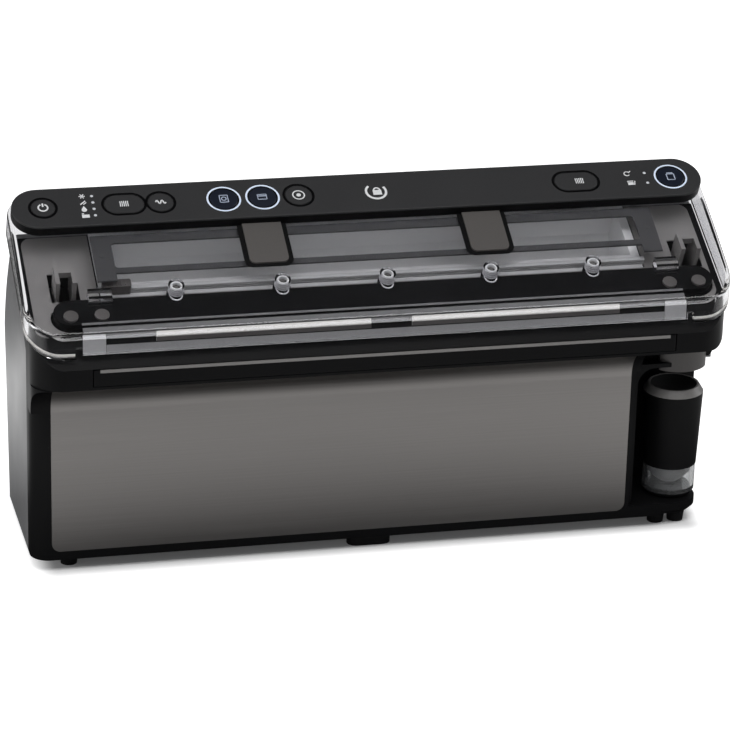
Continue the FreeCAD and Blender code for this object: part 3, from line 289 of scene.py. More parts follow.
# name, colour, roughness, width and depth of the grain, and shine where it isn't the usual one
black_abs = moulded_plastic("moulded_black_abs", "#0E0E0F", 0.42, 1.1, 0.25, 0.1)
strip_abs = moulded_plastic("soft_touch_black_strip", "#333334", 0.5, 1.0, 0.2, 0.2)
silver_abs = moulded_plastic("silver_grey_painted_abs", "#7C7C7D", 0.36, 0.9, 0.12)
# Warm grey is also used for the painted shade under the pale strip.
warm_grey_and_painted_shade = moulded_plastic("warm_grey_abs_and_painted_shade", "#524F4D", 0.45, 1.0, 0.2)
cap_abs = moulded_plastic("light_grey_abs", "#7E7C7A", 0.4, 1.0, 0.2)
bed_abs = moulded_plastic("grey_bed_abs", "#B2B2B2", 0.5, 1.0, 0.2)
cradle_abs = moulded_plastic("pale_grey_abs", "#E2E2E2", 0.5, 1.0, 0.2)
frame_abs = moulded_plastic("dark_grey_abs", "#434344", 0.45, 1.0, 0.2, 0.2)
PLASTICS = (black_abs, strip_abs, silver_abs, warm_grey_and_painted_shade, cap_abs, bed_abs, cradle_abs, frame_abs)
print("plastics:", *[plastic.name for plastic in PLASTICS])

# %% [markdown]
# ## Brushed steel
# The front panel is stainless steel sheet, brushed from end to end and given a dark clear coat. Brushing
# leaves fine scratches along the length, which spread a reflection up and down. Noise that is stretched along
# X draws the scratches: it changes the tone and the roughness a little and gives the surface a shallow bump.
# Real scratches are a few hundredths of a millimetre wide, so these are drawn coarser, at about a millimetre.

# %% Steel, aluminium and other metals
SCRATCH_STRENGTH = 0.12
SCRATCH_DEPTH_MM = 0.05


def brushed_metal(name, colour, roughness, scratch_mm, stretch):
    """A metal with straight scratches along X, which are longer than wide by the stretch."""
    material, tree = new_material(name)
    place = add_node(tree, "ShaderNodeTexCoord")
    along = add_node(tree, "ShaderNodeMapping", {
        "Vector": place.outputs["Object"], "Scale": (1 / stretch, 1.0, 1.0)})
    scratches = add_node(tree, "ShaderNodeTexNoise", {
        "Vector": along, "Scale": scale_for(scratch_mm), "Detail": 4.0, "Roughness": 0.65})
    tone = add_node(tree, "ShaderNodeMixRGB", {
        "Fac": scratches.outputs["Fac"], "Color1": linear(colour, 0.82), "Color2": linear(colour, 1.16)})
    wear = add_node(tree, "ShaderNodeMapRange", {
        "Value": scratches.outputs["Fac"], "From Min": 0.25, "From Max": 0.75,
        "To Min": roughness - 0.06, "To Max": roughness + 0.08})
    bump = add_node(tree, "ShaderNodeBump", {
        "Height": scratches.outputs["Fac"], "Strength": SCRATCH_STRENGTH,
        "Distance": SCRATCH_DEPTH_MM * MM})
    shader = add_node(tree, "ShaderNodeBsdfPrincipled", {
        "Base Color": tone, "Metallic": 1.0, "Roughness": wear, "Normal": bump})
    add_node(tree, "ShaderNodeOutputMaterial", {"Surface": shader})
    return material


# name, colour, roughness, width and stretch of the scratches
panel_steel = brushed_metal("brushed_dark_stainless", "#959290", 0.42, 0.9, 120.0)
plain_steel = brushed_metal("turned_steel", "#B9B7B4", 0.3, 0.4, 4.0)
bar_aluminium = brushed_metal("extruded_aluminium", "#C9CACC", 0.32, 0.5, 40.0)
heater_alloy = brushed_metal("nickel_chromium_strip", "#8D857B", 0.35, 0.3, 30.0)
copper_wire = brushed_metal("enamelled_copper", "#B06A3C", 0.3, 0.5, 1.0)
METALS = (panel_steel, plain_steel, bar_aluminium, heater_alloy, copper_wire)
print("metals:", *[metal.name for metal in METALS])

# %% [markdown]
# ## Rubber, silicone and other moulded finishes
# Seals and feet are black silicone rubber, matte and faintly dusty. The strip that presses the bag is pale
# silicone, softer and slightly glossy. The circuit boards are glass fibre with a green lacquer; they sit
# inside, so a plain recipe is enough. Where clear plastic is etched it turns milky. The other pale and dim
# tones here are painted highlights and glints of different strength, set as plain colours on opaque sheets.

# %% Rubber, board and milky plastic
black_rubber = moulded_plastic("black_silicone_rubber", "#121213", 0.62, 0.8, 0.2, 0.35, 1.42)
# Pale silicone is also used for the painted highlights along the rims of the ears.
pale_silicone_and_painted_highlight = moulded_plastic("pale_silicone_rubber_and_painted_highlight", "#D9D7D2", 0.42, 0.8, 0.1, 0.5, 1.42)
board_green = moulded_plastic("green_circuit_board", "#1F5A38", 0.35, 2.5, 0.1)
gloss_black = moulded_plastic("polished_black_abs", "#0B0B0C", 0.16, 1.5, 0.03, 0.3)
etched_clear = moulded_plastic("etched_milky_polycarbonate", "#9C9C9C", 0.5, 1.2, 0.3)
# Painted highlights in three tones: a dim one, a bright one, and a whiter one for painted glints.
dim_painted_highlight = moulded_plastic("dim_painted_highlight_sheet", "#6A6A6A", 0.5, 1.2, 0.3)
bright_painted_highlight = moulded_plastic("bright_painted_highlight_sheet", "#8E8E8E", 0.45, 1.2, 0.3)
frosted_end = moulded_plastic("frosted_end_block", "#B8B8B8", 0.45, 1.8, 0.5)
painted_glint = moulded_plastic("painted_glint_sheet", "#E4E4E6", 0.3, 1.0, 0.3)
glass_tape = moulded_plastic("brown_coated_glass_tape", "#6B4A2C", 0.45, 0.8, 0.3)
OTHERS = (black_rubber, pale_silicone_and_painted_highlight, board_green, gloss_black, etched_clear, dim_painted_highlight, bright_painted_highlight,
          frosted_end, painted_glint, glass_tape)
print("others:", *[other.name for other in OTHERS])

# %% [markdown]
# ## Clear plastics
# The lid is moulded in smoked, see-through plastic, and the cup of the handheld sealer in clear plastic.
# Light is bent and tinted by such a wall. A lamp's light also has to get through it, and a path tracer finds
# such bent paths badly, so for shadow rays the wall is swapped for a plain tinted window.

# %% Smoked and clear plastic
POLYCARBONATE_IOR = 1.5
FLOW_MM = 18.0              # size of the faint waves that the flow in the mould leaves
FLOW_STRENGTH = 0.05
FLOW_DEPTH_MM = 0.4


def clear_plastic(name, colour, roughness, window, clearness, shine):
    """A see-through moulding with its tint, its window for lamp light, its clearness and its shine."""
    material, tree = new_material(name)
    place = add_node(tree, "ShaderNodeTexCoord")
    waves = add_node(tree, "ShaderNodeTexNoise", {
        "Vector": place.outputs["Object"], "Scale": scale_for(FLOW_MM), "Detail": 2.0})
    flow = add_node(tree, "ShaderNodeBump", {
        "Height": waves.outputs["Fac"], "Strength": FLOW_STRENGTH, "Distance": FLOW_DEPTH_MM * MM})
    wall = add_node(tree, "ShaderNodeBsdfPrincipled", {
        "Base Color": linear(colour), "Roughness": roughness, "IOR": POLYCARBONATE_IOR,
        "Transmission Weight": clearness, "Specular IOR Level": shine, "Normal": flow})
    pane = add_node(tree, "ShaderNodeBsdfTransparent", {"Color": linear(window)})
    path = add_node(tree, "ShaderNodeLightPath")
    mixed = add_node(tree, "ShaderNodeMixShader", {
        0: path.outputs["Is Shadow Ray"], 1: wall, 2: pane})
    add_node(tree, "ShaderNodeOutputMaterial", {"Surface": mixed})
    return material


# name, tint, roughness, window, clearness, shine
smoked_lid = clear_plastic("smoked_polycarbonate", "#F0F0F2", 0.0, "#EEEEF0", 1.0, 0.3)
clear_cup = clear_plastic("clear_polycarbonate", "#F4F5F6", 0.03, "#F2F4F6", 0.96, 0.5)
print("clear:", smoked_lid.name, clear_cup.name)

# %% [markdown]
# ## Lights and ink
# Three buttons have a ring of light round them, and small lamps sit beside the marks. A light guide is a
# milky plastic with a lamp behind it, so it gets a soft glow of its own. The marks are white ink, printed
# flat on the strip. The faces of the lit buttons are black with a painted blue tint for their rings' light.

# %% Light guide and white ink
CLOUD_MM = 6.0              # size of the brighter and dimmer spots in a light guide
ACRYLIC_IOR = 1.49


def glowing_plastic(name, colour, strength):
    """A milky light guide with a lamp behind it."""
    material, tree = new_material(name)
    place = add_node(tree, "ShaderNodeTexCoord")
    cloud = add_node(tree, "ShaderNodeTexNoise", {
        "Vector": place.outputs["Object"], "Scale": scale_for(CLOUD_MM), "Detail": 1.0})
    level = add_node(tree, "ShaderNodeMapRange", {
        "Value": cloud.outputs["Fac"], **NOISE_RANGE,
        "To Min": 0.75 * strength, "To Max": 1.1 * strength})
    shader = add_node(tree, "ShaderNodeBsdfPrincipled", {
        "Base Color": linear(colour), "Roughness": 0.4, "IOR": ACRYLIC_IOR,
        "Emission Color": linear(colour), "Emission Strength": level})
    add_node(tree, "ShaderNodeOutputMaterial", {"Surface": shader})
    return material


ring_light = glowing_plastic("lit_milky_acrylic", "#C0CBDC", 0.5)
lens_light = glowing_plastic("dim_milky_acrylic", "#C9CCD0", 0.12)
white_ink = moulded_plastic("white_screen_ink", "#E9EAEB", 0.55, 0.6, 0.05)
lit_ink = glowing_plastic("lit_blue_white_ink", "#A4AEC0", 0.25)
# Painted light: the blue tint in the black of the lit buttons stands for the light of their rings.
ring_glow_painted_black = moulded_plastic("black_abs_with_painted_ring_glow", "#141A28", 0.4, 1.0, 0.1, 0.3)
print("lights:", ring_light.name, lens_light.name, white_ink.name, lit_ink.name, ring_glow_painted_black.name)

# %% [markdown]
# ## Dress the solids
# Each solid already has a material slot with its name from the packing step. Putting a new material in that
# slot is all that is needed, because the patterns read object coordinates and need no unwrapping.

# %% Give every solid its finish
FINISHES = {
    black_abs: ("front_housing", "sealing_deck", "tray_sleeve", "bottom_cover", "handheld_dock", "drip_tray",
                "hinge_brackets", "power_inlet", "handheld_body", "control_housing",
                "solenoid_valve", "gasket_carrier", "pressure_holder", "tab_seats"),
    frame_abs: ("window_frame",),
    strip_abs: ("control_cover", "power_button", "mode_button", "pulse_button",
                "cancel_button", "accessory_mode_button"),
    ring_glow_painted_black: ("vacuum_seal_button", "seal_button", "accessory_button"),
    silver_abs: ("rear_cover",),
    warm_grey_and_painted_shade: ("lid_tabs", "dock_bridge", "cutter_slider", "carrier_discs"),
    cradle_abs: ("roll_cradle",),
    bed_abs: ("cutter_rail",),
    cap_abs: ("handheld_cap", "deck_plate", "tray_lip", "latch_hooks"),
    panel_steel: ("front_panel",),
    smoked_lid: ("lid_shell",),
    clear_cup: ("handheld_reservoir",),
    black_rubber: ("rubber_feet", "centre_foot", "lower_gasket", "upper_gasket", "vacuum_hose",
                   "handheld_hose", "handheld_nozzle"),
    pale_silicone_and_painted_highlight: ("pressure_strips",),
    plain_steel: ("hinge_pins", "case_screws", "lid_screws", "cutter_blade", "pump_motor", "transformer"),
    bar_aluminium: ("heat_seal_bar", "vacuum_pump"),
    heater_alloy: ("heating_element",),
    copper_wire: ("transformer_coil",),
    board_green: ("power_board", "control_board"),
    ring_light: ("light_rings",),
    lens_light: ("indicator_lenses",),
}
for material, names in FINISHES.items():
    for name in names:
        nodes[name].material_slots[0].material = material
dressed = [name for names in FINISHES.values() for name in names]
print(len(dressed), "of", len(nodes), "solids dressed; missing:", sorted(set(nodes) - set(dressed)))

# %% [markdown]
# ## The slope of the lid
# The lid and its button strip lie on a slope. It is easiest to draw on that slope as on paper: x runs along
# the lid, u up the slope from the front edge, and n straight out of it. One function turns such a point into
# a place on the sealer. The marks, bands, bars and ribs below are drawn with it. The other functions add
# prisms and bands to a mesh under construction, and make a finished piece of it.

# %% Drawing on the slope
SLOPE = math.radians(26.5)
SLOPE_TURN = Vector((SLOPE, 0, 0))
SLOPE_PLACE = Vector((0.0, -60.75, 133.0))
STRIP_MIDDLE = 90.5         # middle line of the button strip, up the slope
STRIP_TOP = 22.0            # height of the strip and of its buttons off the slope
BUTTON_TOP = 22.3


def on_slope(x, u, n):
    """A point on the slope of the lid, from millimetres along, up and out of it."""
    up = Vector((0.0, math.cos(SLOPE), math.sin(SLOPE)))
    out = Vector((0.0, -math.sin(SLOPE), math.cos(SLOPE)))
    return (SLOPE_PLACE + Vector((x, 0, 0)) + u * up + n * out) * MM


def riding_piece(name, mesh, body):
    """A piece with the given mesh that rides on a body and takes its finish from a slot."""
    piece = bpy.data.objects.new(name, mesh)
    scene.collection.objects.link(piece)
    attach(piece, body)
    return piece


def finished_piece(name, build, material, body):
    """Turns a mesh under construction into a riding piece."""
    bmesh.ops.recalc_face_normals(build, faces=build.faces)
    mesh = bpy.data.meshes.new(name)
    build.to_mesh(mesh)
    build.free()
    mesh.materials.append(material)
    return riding_piece(name, mesh, body)


def join_rings(build, rings):
    """Adds faces between each ring of points and the next."""
    for first, second in zip(rings, rings[1:]):
        for here in range(len(first)):
            after = (here + 1) % len(first)
            build.faces.new((first[here], first[after], second[after], second[here]))


def add_prism(build, outline, low, high, place=on_slope):
    """Adds a closed prism over an outline, between two heights."""
    bottom = [build.verts.new(place(x, v, low)) for x, v in outline]
    top = [build.verts.new(place(x, v, high)) for x, v in outline]
    build.faces.new(bottom)
    build.faces.new(top)
    join_rings(build, [bottom, top])


def add_band(build, outer, inner, low, high, place=on_slope):
    """Adds a closed band between two outlines with the same number of points."""
    rings = []
    for outline, level in ((outer, low), (outer, high), (inner, high), (inner, low)):
        rings.append([build.verts.new(place(x, v, level)) for x, v in outline])
    join_rings(build, rings + rings[:1])


print("strip middle is", [round(value / MM, 1) for value in on_slope(0, STRIP_MIDDLE, STRIP_TOP)], "mm")

# %% [markdown]
# ## Glossy surrounds
# Each button lies in a shallow, polished groove, which shows as a dark outline on the matte strip. The groove
# is drawn as a very thin polished band round the button: a circle for the round buttons and a long round for
# the two wide ones.

# %% Polished outlines round the buttons
BUTTONS = {
    # node: x, radius, straight length
    "power_button": (-181.0, 6.5, 0.0),
    "mode_button": (-136.0, 7.0, 8.0),
    "pulse_button": (-115.5, 7.0, 0.0),
    "vacuum_seal_button": (-80.0, 7.7, 0.0),
    "seal_button": (-58.0, 7.7, 0.0),
    "cancel_button": (-37.5, 7.4, 0.0),
    "accessory_mode_button": (124.0, 7.0, 11.0),
    "accessory_button": (180.5, 7.7, 0.0),
}
LIT_BUTTONS = ("vacuum_seal_button", "seal_button", "accessory_button")
OUTLINE_STEPS = 48
GROOVE_IN = 0.4             # edges of the groove, counted from the rim of the button
GROOVE_OUT = 1.7
LIT_GROOVE_OUT = 0.95       # up to the ring of light
GROOVE_LOW = STRIP_TOP - 0.1
GROOVE_HIGH = STRIP_TOP + 0.04


def long_round(x, u, radius, straight):
    """The outline of a circle, or of a long round where the straight length isn't zero."""
    points = []
    for step in range(OUTLINE_STEPS):
        angle = 2 * math.pi * (step + 0.5) / OUTLINE_STEPS
        side = math.copysign(straight / 2, math.cos(angle))
        points.append((x + side + radius * math.cos(angle), u + radius * math.sin(angle)))
    return points


build = bmesh.new()
for name, (x, radius, straight) in BUTTONS.items():
    reach = LIT_GROOVE_OUT if name in LIT_BUTTONS else GROOVE_OUT
    outer = long_round(x, STRIP_MIDDLE, radius + reach, straight)
    inner = long_round(x, STRIP_MIDDLE, radius + GROOVE_IN, straight)
    add_band(build, outer, inner, GROOVE_LOW, GROOVE_HIGH)
finished_piece("button_grooves", build, gloss_black, "lid")
print(len(BUTTONS), "polished outlines")

# %% [markdown]
# ## Printed marks
# The marks are printed in white ink, a few hundredths of a millimetre thick. Each one is a plain sign: a ring
# with a bar for power, a wave for pulses, a bag, a jar and a padlock. They are drawn with strokes of an even
# width, as with a pen, and each stroke becomes a thin closed slab. The ones on a button belong to that button
# and move with it.

# %% A pen for the marks
INK_LOW = -0.03             # the ink reaches from just under the surface to just over it
INK_HIGH = 0.06


def arc(x, v, radius, start, end, steps=20):
    """Points along an arc, with angles in degrees."""
    angles = [math.radians(start + (end - start) * step / steps) for step in range(steps + 1)]
    return [(x + radius * math.cos(angle), v + radius * math.sin(angle)) for angle in angles]


def stroke(points, width, closed=False):
    """A pen stroke of an even width as a list of four-sided outlines."""
    following = points[1:] + points[:1] if closed else points[1:]
    slabs = []
    for (x0, v0), (x1, v1) in zip(points, following):
        length = math.hypot(x1 - x0, v1 - v0)
        side_x = -(v1 - v0) / length * width / 2
        side_v = (x1 - x0) / length * width / 2
        slabs.append([(x0 + side_x, v0 + side_v), (x0 - side_x, v0 - side_v),
                      (x1 - side_x, v1 - side_v), (x1 + side_x, v1 + side_v)])
    return slabs


def rectangle(x, v, wide, high):
    """Corner points of a rectangle round a middle point."""
    return [(x - wide / 2, v - high / 2), (x + wide / 2, v - high / 2),
            (x + wide / 2, v + high / 2), (x - wide / 2, v + high / 2)]


def printed(name, slabs, x, top, body, ink=white_ink):
    """Prints outlines, drawn round the strip's middle line at x, on the surface at that height."""
    build = bmesh.new()
    for slab in slabs:
        add_prism(build, [(x + a, STRIP_MIDDLE + b) for a, b in slab], top + INK_LOW, top + INK_HIGH)
    return finished_piece(name, build, ink, body)


print("ink is", INK_HIGH - INK_LOW, "mm thick in all")

# %% [markdown]
# Six buttons carry a sign, which is drawn round the middle of the button in millimetres. The signs on the lit
# buttons are printed in an ink that glows a little.

# %% Marks on the buttons
WAVE_STEP = 0.35
power_sign = stroke(arc(0, 0, 2.6, 115, 425), 0.95) + stroke([(0, 0.6), (0, 3.3)], 0.95)
wave_line = [(step * WAVE_STEP - 2.8, 1.4 * math.sin(step * WAVE_STEP * 2.2)) for step in range(17)]
wave_sign = stroke(wave_line, 0.8)
bag_sign = stroke(rectangle(0, 0, 4.6, 5.4), 0.5, True) + stroke(arc(0, 0, 1.3, 0, 360), 0.5)
seal_sign = stroke(rectangle(-0.3, 0, 5.0, 3.8), 0.5, True) + stroke([(-2.8, 0.7), (2.2, 0.7)], 0.7)
stop_sign = stroke(arc(0, 0, 3.3, 0, 360), 0.75) + [arc(0, 0, 1.3, 0, 342, 19)]
jar_sign = stroke(rectangle(0, -0.4, 4.4, 4.6), 0.5, True) + stroke([(-1.8, 2.7), (1.8, 2.7)], 0.6)
BUTTON_SIGNS = {
    "power_button": power_sign, "pulse_button": wave_sign, "vacuum_seal_button": bag_sign,
    "seal_button": seal_sign, "cancel_button": stop_sign, "accessory_button": jar_sign,
}
for button, sign in BUTTON_SIGNS.items():
    ink = lit_ink if button in LIT_BUTTONS else white_ink
    printed(button.replace("button", "mark"), sign, BUTTONS[button][0], BUTTON_TOP, button + "_body", ink)
print(len(BUTTON_SIGNS), "buttons printed")

# %% [markdown]
# Beside the buttons the strip carries three groups of signs: for frozen, cut, moist and packed food, the
# padlock in an open ring, and the hose and the cup of the accessories.

# %% Marks on the strip
FOOD_X = -158.5
LOCK_X = 7.0
TOOLS_X = 155.6
frost_sign = []
for turn in (0, 60, 120):
    frost_sign += stroke(arc(0, 7.6, 1.8, turn, turn + 180, 1), 0.6)
slash_sign = stroke([(-1.6, 1.2), (1.4, 4.0)], 0.7) + stroke([(0.1, 1.2), (1.8, 2.7)], 0.6)
drop_sign = [arc(0, -3.0, 1.5, 150, 390, 12) + [(0, 0.1)]]
pack_sign = [rectangle(0.2, -7.9, 4.2, 2.4)] + stroke([(-1.8, -6.0), (-0.6, -6.0)], 0.8)
food_signs = frost_sign + slash_sign + drop_sign + pack_sign
lock_sign = (stroke(arc(0, 0, 5.7, 130, 395, 30), 1.4) + [rectangle(0.6, -0.8, 5.0, 3.8)]
             + stroke(arc(0.6, 1.1, 1.7, 0, 180, 10), 0.9))
hose_sign = stroke(arc(-0.3, 4.0, 1.6, 20, 330, 14), 0.6) + stroke([(1.0, 5.0), (2.2, 6.0)], 0.6)
cup_sign = ([rectangle(0.2, -4.0, 3.4, 2.2)] + stroke([(-1.6, -2.1), (2.0, -2.1)], 0.6)
            + stroke([(2.2, -5.2), (3.0, -2.0)], 0.5))
printed("food_marks", food_signs, FOOD_X, STRIP_TOP, "lid")
printed("lock_mark", lock_sign, LOCK_X, STRIP_TOP, "lid")
printed("accessory_marks", hose_sign + cup_sign, TOOLS_X, STRIP_TOP, "lid")
print("three groups of marks on the strip")

# %% [markdown]
# ## Bars on the wide buttons
# Each wide button carries a small block of upright bars. Bars repeat, so Geometry Nodes makes them: a line of
# points, one thin bar on each point, and a set material at the end. The count, spacing and size are inputs of
# the tree, so the same tree serves every row of equal bars on the sealer. The result is turned into a plain
# mesh, because other programs don't know about instances.

# %% A tree for rows of bars
ROW_INPUTS = (
    ("Count", "NodeSocketInt"), ("Start", "NodeSocketVector"), ("Step", "NodeSocketVector"),
    ("Turn", "NodeSocketVector"), ("Finish", "NodeSocketMaterial"),
)


def new_row_tree(name, own_inputs):
    """A Geometry Nodes tree with the inputs of every row and some of its own, and what they give."""
    tree = bpy.data.node_groups.new(name, "GeometryNodeTree")
    for label, kind in ROW_INPUTS + own_inputs:
        tree.interface.new_socket(label, in_out="INPUT", socket_type=kind)
    tree.interface.new_socket("Geometry", in_out="OUTPUT", socket_type="NodeSocketGeometry")
    return tree, add_node(tree, "NodeGroupInput").outputs


def finish_row(tree, given, shape):
    """Puts a shape on a line of points, makes the copies real and gives them their finish."""
    line = add_node(tree, "GeometryNodeMeshLine", {
        "Count": given["Count"], "Start Location": given["Start"], "Offset": given["Step"]}, mode="OFFSET")
    row = add_node(tree, "GeometryNodeInstanceOnPoints", {
        "Points": line, "Instance": shape, "Rotation": given["Turn"]})
    real = add_node(tree, "GeometryNodeRealizeInstances", {"Geometry": row})
    done = add_node(tree, "GeometryNodeSetMaterial", {
        "Geometry": real, "Material": given["Finish"]})
    add_node(tree, "NodeGroupOutput", {"Geometry": done})


bar_row, given = new_row_tree("bar_row", (("Size", "NodeSocketVector"),))
bar = add_node(bar_row, "GeometryNodeMeshCube", {"Size": given["Size"]})
finish_row(bar_row, given, bar)
print("inputs of the tree:", *[label for label, kind in ROW_INPUTS], "and Size")

# %% [markdown]
# The tree works as a modifier on an empty mesh. Its result is copied into a plain mesh, with the sharp edges
# taken off by a bevel where that would show, and the empty mesh is thrown away.

# %% Bars on the wide buttons
def repeated(name, tree, body, slot, bevel_mm, **sizes):
    """What a tree makes from its named inputs, as a plain mesh that rides on a body."""
    maker = bpy.data.objects.new(name + "_maker", bpy.data.meshes.new(name + "_maker"))
    scene.collection.objects.link(maker)
    row = maker.modifiers.new("row", "NODES")
    row.node_group = tree
    for socket in tree.interface.items_tree:
        if socket.in_out == "INPUT":
            row[socket.identifier] = sizes[socket.name]
    if bevel_mm:
        soft = maker.modifiers.new("soft_edges", "BEVEL")
        soft.width = bevel_mm * MM
        soft.segments = 2
    made = maker.evaluated_get(bpy.context.evaluated_depsgraph_get())
    mesh = bpy.data.meshes.new_from_object(made)
    bpy.data.objects.remove(maker)
    return riding_piece(name, mesh, body)


BAR_SIZE = Vector((0.55, 4.2, 0.12)) * MM
BAR_PITCH = 1.05 * MM
BAR_COUNT = 5
BAR_BEVEL = 0.03
BAR_OFFSETS = {"mode_button": 0.0, "accessory_mode_button": 2.0}    # from the middle of the button
for name, offset in BAR_OFFSETS.items():
    middle = on_slope(BUTTONS[name][0] + offset, STRIP_MIDDLE, BUTTON_TOP)
    first = middle - Vector(((BAR_COUNT - 1) / 2 * BAR_PITCH, 0, 0))
    repeated(name + "_bars", bar_row, name + "_body", "light_guide", BAR_BEVEL, Count=BAR_COUNT,
             Start=first, Step=Vector((BAR_PITCH, 0, 0)), Size=BAR_SIZE, Turn=SLOPE_TURN, Finish=white_ink)
print(BAR_COUNT, "bars on each wide button")

# %% [markdown]
# ## Grip ribs on the cutter
# The slider of the bag cutter is pushed with a fingertip, so its top has ribs across the stroke. They are
# another row of bars from the same tree, turned to the slope.

# %% Ribs on the cutter slider
RIB_COUNT = 5
RIB_PITCH = 2.4 * MM
RIB_SIZE = Vector((0.9, 4.2, 0.7)) * MM
RIB_BEVEL = 0.2
CUTTER_X = -146.0
CUTTER_U = 44.4
CUTTER_TOP = 6.7
first = on_slope(CUTTER_X, CUTTER_U, CUTTER_TOP) - Vector(((RIB_COUNT - 1) / 2 * RIB_PITCH, 0, 0))
repeated("cutter_ribs", bar_row, "cutter", "grey_plastic", RIB_BEVEL, Count=RIB_COUNT,
         Start=first, Step=Vector((RIB_PITCH, 0, 0)), Size=RIB_SIZE, Turn=SLOPE_TURN, Finish=warm_grey_and_painted_shade)
print(RIB_COUNT, "ribs on the cutter")

# %% [markdown]
# ## Threads in the clear bosses
# The gasket carrier hangs on five screws, and each one is driven into a clear boss under the lid. A screw of
# this kind cuts a coarse thread into the plastic; its pale finish is a painted glint seen through the lid. A
# thread is a round wire along a helix, which is a curve with a profile: Geometry Nodes sweeps it once and
# then puts it on a line of points, so that the number of turns and the pitch stay numbers that can be
# changed.

# %% A tree for threads in a row
HELIX_STEPS = 24            # points for each turn of a thread
WIRE_STEPS = 8              # points round its wire
THREAD_INPUTS = (
    ("Turns", "NodeSocketFloat"), ("Radius", "NodeSocketFloat"),
    ("Height", "NodeSocketFloat"), ("Wire", "NodeSocketFloat"),
)
threads, given = new_row_tree("threads", THREAD_INPUTS)
helix = add_node(threads, "GeometryNodeCurveSpiral", {
    "Resolution": HELIX_STEPS, "Rotations": given["Turns"], "Start Radius": given["Radius"],
    "End Radius": given["Radius"], "Height": given["Height"]})
wire = add_node(threads, "GeometryNodeCurvePrimitiveCircle", {
    "Resolution": WIRE_STEPS, "Radius": given["Wire"]})
thread = add_node(threads, "GeometryNodeCurveToMesh", {
    "Curve": helix, "Profile Curve": wire, "Fill Caps": True})
finish_row(threads, given, thread)
print("own inputs of the tree:", *[label for label, kind in THREAD_INPUTS])

# %% [markdown]
# The five threads stand on the slope, in a row of equal steps along the lid.

# %% Threads in the bosses
BOSS_COUNT = 5
BOSS_X = -114.6             # the boss at the left end
BOSS_STEP = Vector((59.3, 0, 0)) * MM
BOSS_U = 36.4
THREAD_FOOT = 5.3           # height of the lowest turn off the slope
THREAD_TURNS = 3.5
THREAD_RADIUS = 2.9
THREAD_HEIGHT = 5.2
THREAD_WIRE = 0.55
# The pale finish of the threads is a painted glint.
repeated("boss_threads_painted_glint", threads, "lid", "smoked_clear", 0.0, Count=BOSS_COUNT, Turns=THREAD_TURNS,
         Radius=THREAD_RADIUS * MM, Height=THREAD_HEIGHT * MM, Wire=THREAD_WIRE * MM,
         Start=on_slope(BOSS_X, BOSS_U, THREAD_FOOT), Step=BOSS_STEP, Turn=SLOPE_TURN, Finish=painted_glint)
print(BOSS_COUNT, "threads")

# %% [markdown]
# ## Painted highlights at the feet of the clear blocks
# In front of each boss a clear block presses on the gasket carrier. A bright arc is painted at its foot under
# each boss, as a highlight. The thread tree can draw it too: one flat turn of wire, just over the carrier.
# Its rear half hides behind the boss, and the front half is the arc.

# %% Arcs under the bosses
FOOT_TURNS = 0.98           # not quite closed, so that the ends of the wire stay apart
FOOT_RADIUS = 3.2
FOOT_WIRE = 0.38
FOOT_U = 33.7
FOOT_HEIGHT = 5.05
# The arcs are painted highlights.
repeated("painted_boss_foot_highlights", threads, "lid", "smoked_clear", 0.0, Count=BOSS_COUNT, Turns=FOOT_TURNS,
         Radius=FOOT_RADIUS * MM, Height=0.0, Wire=FOOT_WIRE * MM,
         Start=on_slope(BOSS_X, FOOT_U, FOOT_HEIGHT), Step=BOSS_STEP, Turn=SLOPE_TURN, Finish=painted_glint)
print(BOSS_COUNT, "arcs under the bosses")

# %% [markdown]
# ## Bed of the cutter rail
# The rail of the cutter stands on a pale bed between the vacuum channel and the roll bay. The bed is two flat
# strips, one on each side of the rail, laid on the slope of the deck.

# %% Pale strips beside the rail
BED_HALF = 155.0
BED_STRIPS = ((36.4, 42.9), (46.1, 47.3))
DECK_TOP = -1.0
BED_SHEET = 0.7
build = bmesh.new()
for low_u, high_u in BED_STRIPS:
    add_prism(build, [(-BED_HALF, low_u), (BED_HALF, low_u), (BED_HALF, high_u), (-BED_HALF, high_u)],
              DECK_TOP, DECK_TOP + BED_SHEET)
finished_piece("rail_bed", build, bed_abs, "base")
print(len(BED_STRIPS), "strips beside the rail")

# %% [markdown]
# ## Behind the front edge of the lid
# The front edge of the lid shows a stack of pale and grey lines, most of them painted highlights and one a
# painted shade. Each one is a thin sheet just inside the clear wall, drawn as a profile and drawn out along
# the lid. These functions make such sheets.

# %% Sheets that are drawn out along the lid
def upright(x, z, y):
    """A point from millimetres along, up and towards the rear."""
    return Vector((x, y, z)) * MM


def drawn_out(y, z, x):
    """The same point for profiles that are drawn out along the lid."""
    return upright(x, z, y)


def drawn_out_on_slope(u, n, x):
    """A point on the slope for profiles that are drawn out along the lid."""
    return on_slope(x, u, n)


def sheets(name, profiles, spans, material, place=drawn_out):
    """Closed sheets with the given profiles, drawn out over each span of x, that ride on the lid."""
    build = bmesh.new()
    for outline in profiles:
        for low, high in spans:
            add_prism(build, outline, low, high, place)
    return finished_piece(name, build, material, "lid")


def thin_profile(start, end, sheet):
    """The outline of a thin sheet seen from its end: a line and a thickness behind or under it."""
    start = Vector(start)
    end = Vector(end)
    along = end - start
    inward = Vector((along.y, -along.x)).normalized() * sheet
    return [start, end, end + inward, start + inward]


print("a sheet has", len(thin_profile((0, 0), (0, 1), 0.1)), "corners seen from its end")

# %% [markdown]
# From the top down there are a painted highlight line and band under the lid face, a slanted face behind the
# edge, the strip that presses the bag with a grey sheet of painted shade under it, and an etched lip with a
# painted highlight along its lower rim. Between the sheets the black holder shows as dark slots. The strip is
# pale silicone in two lengths. There the slanted face is pale, and elsewhere it is a dim painted highlight.

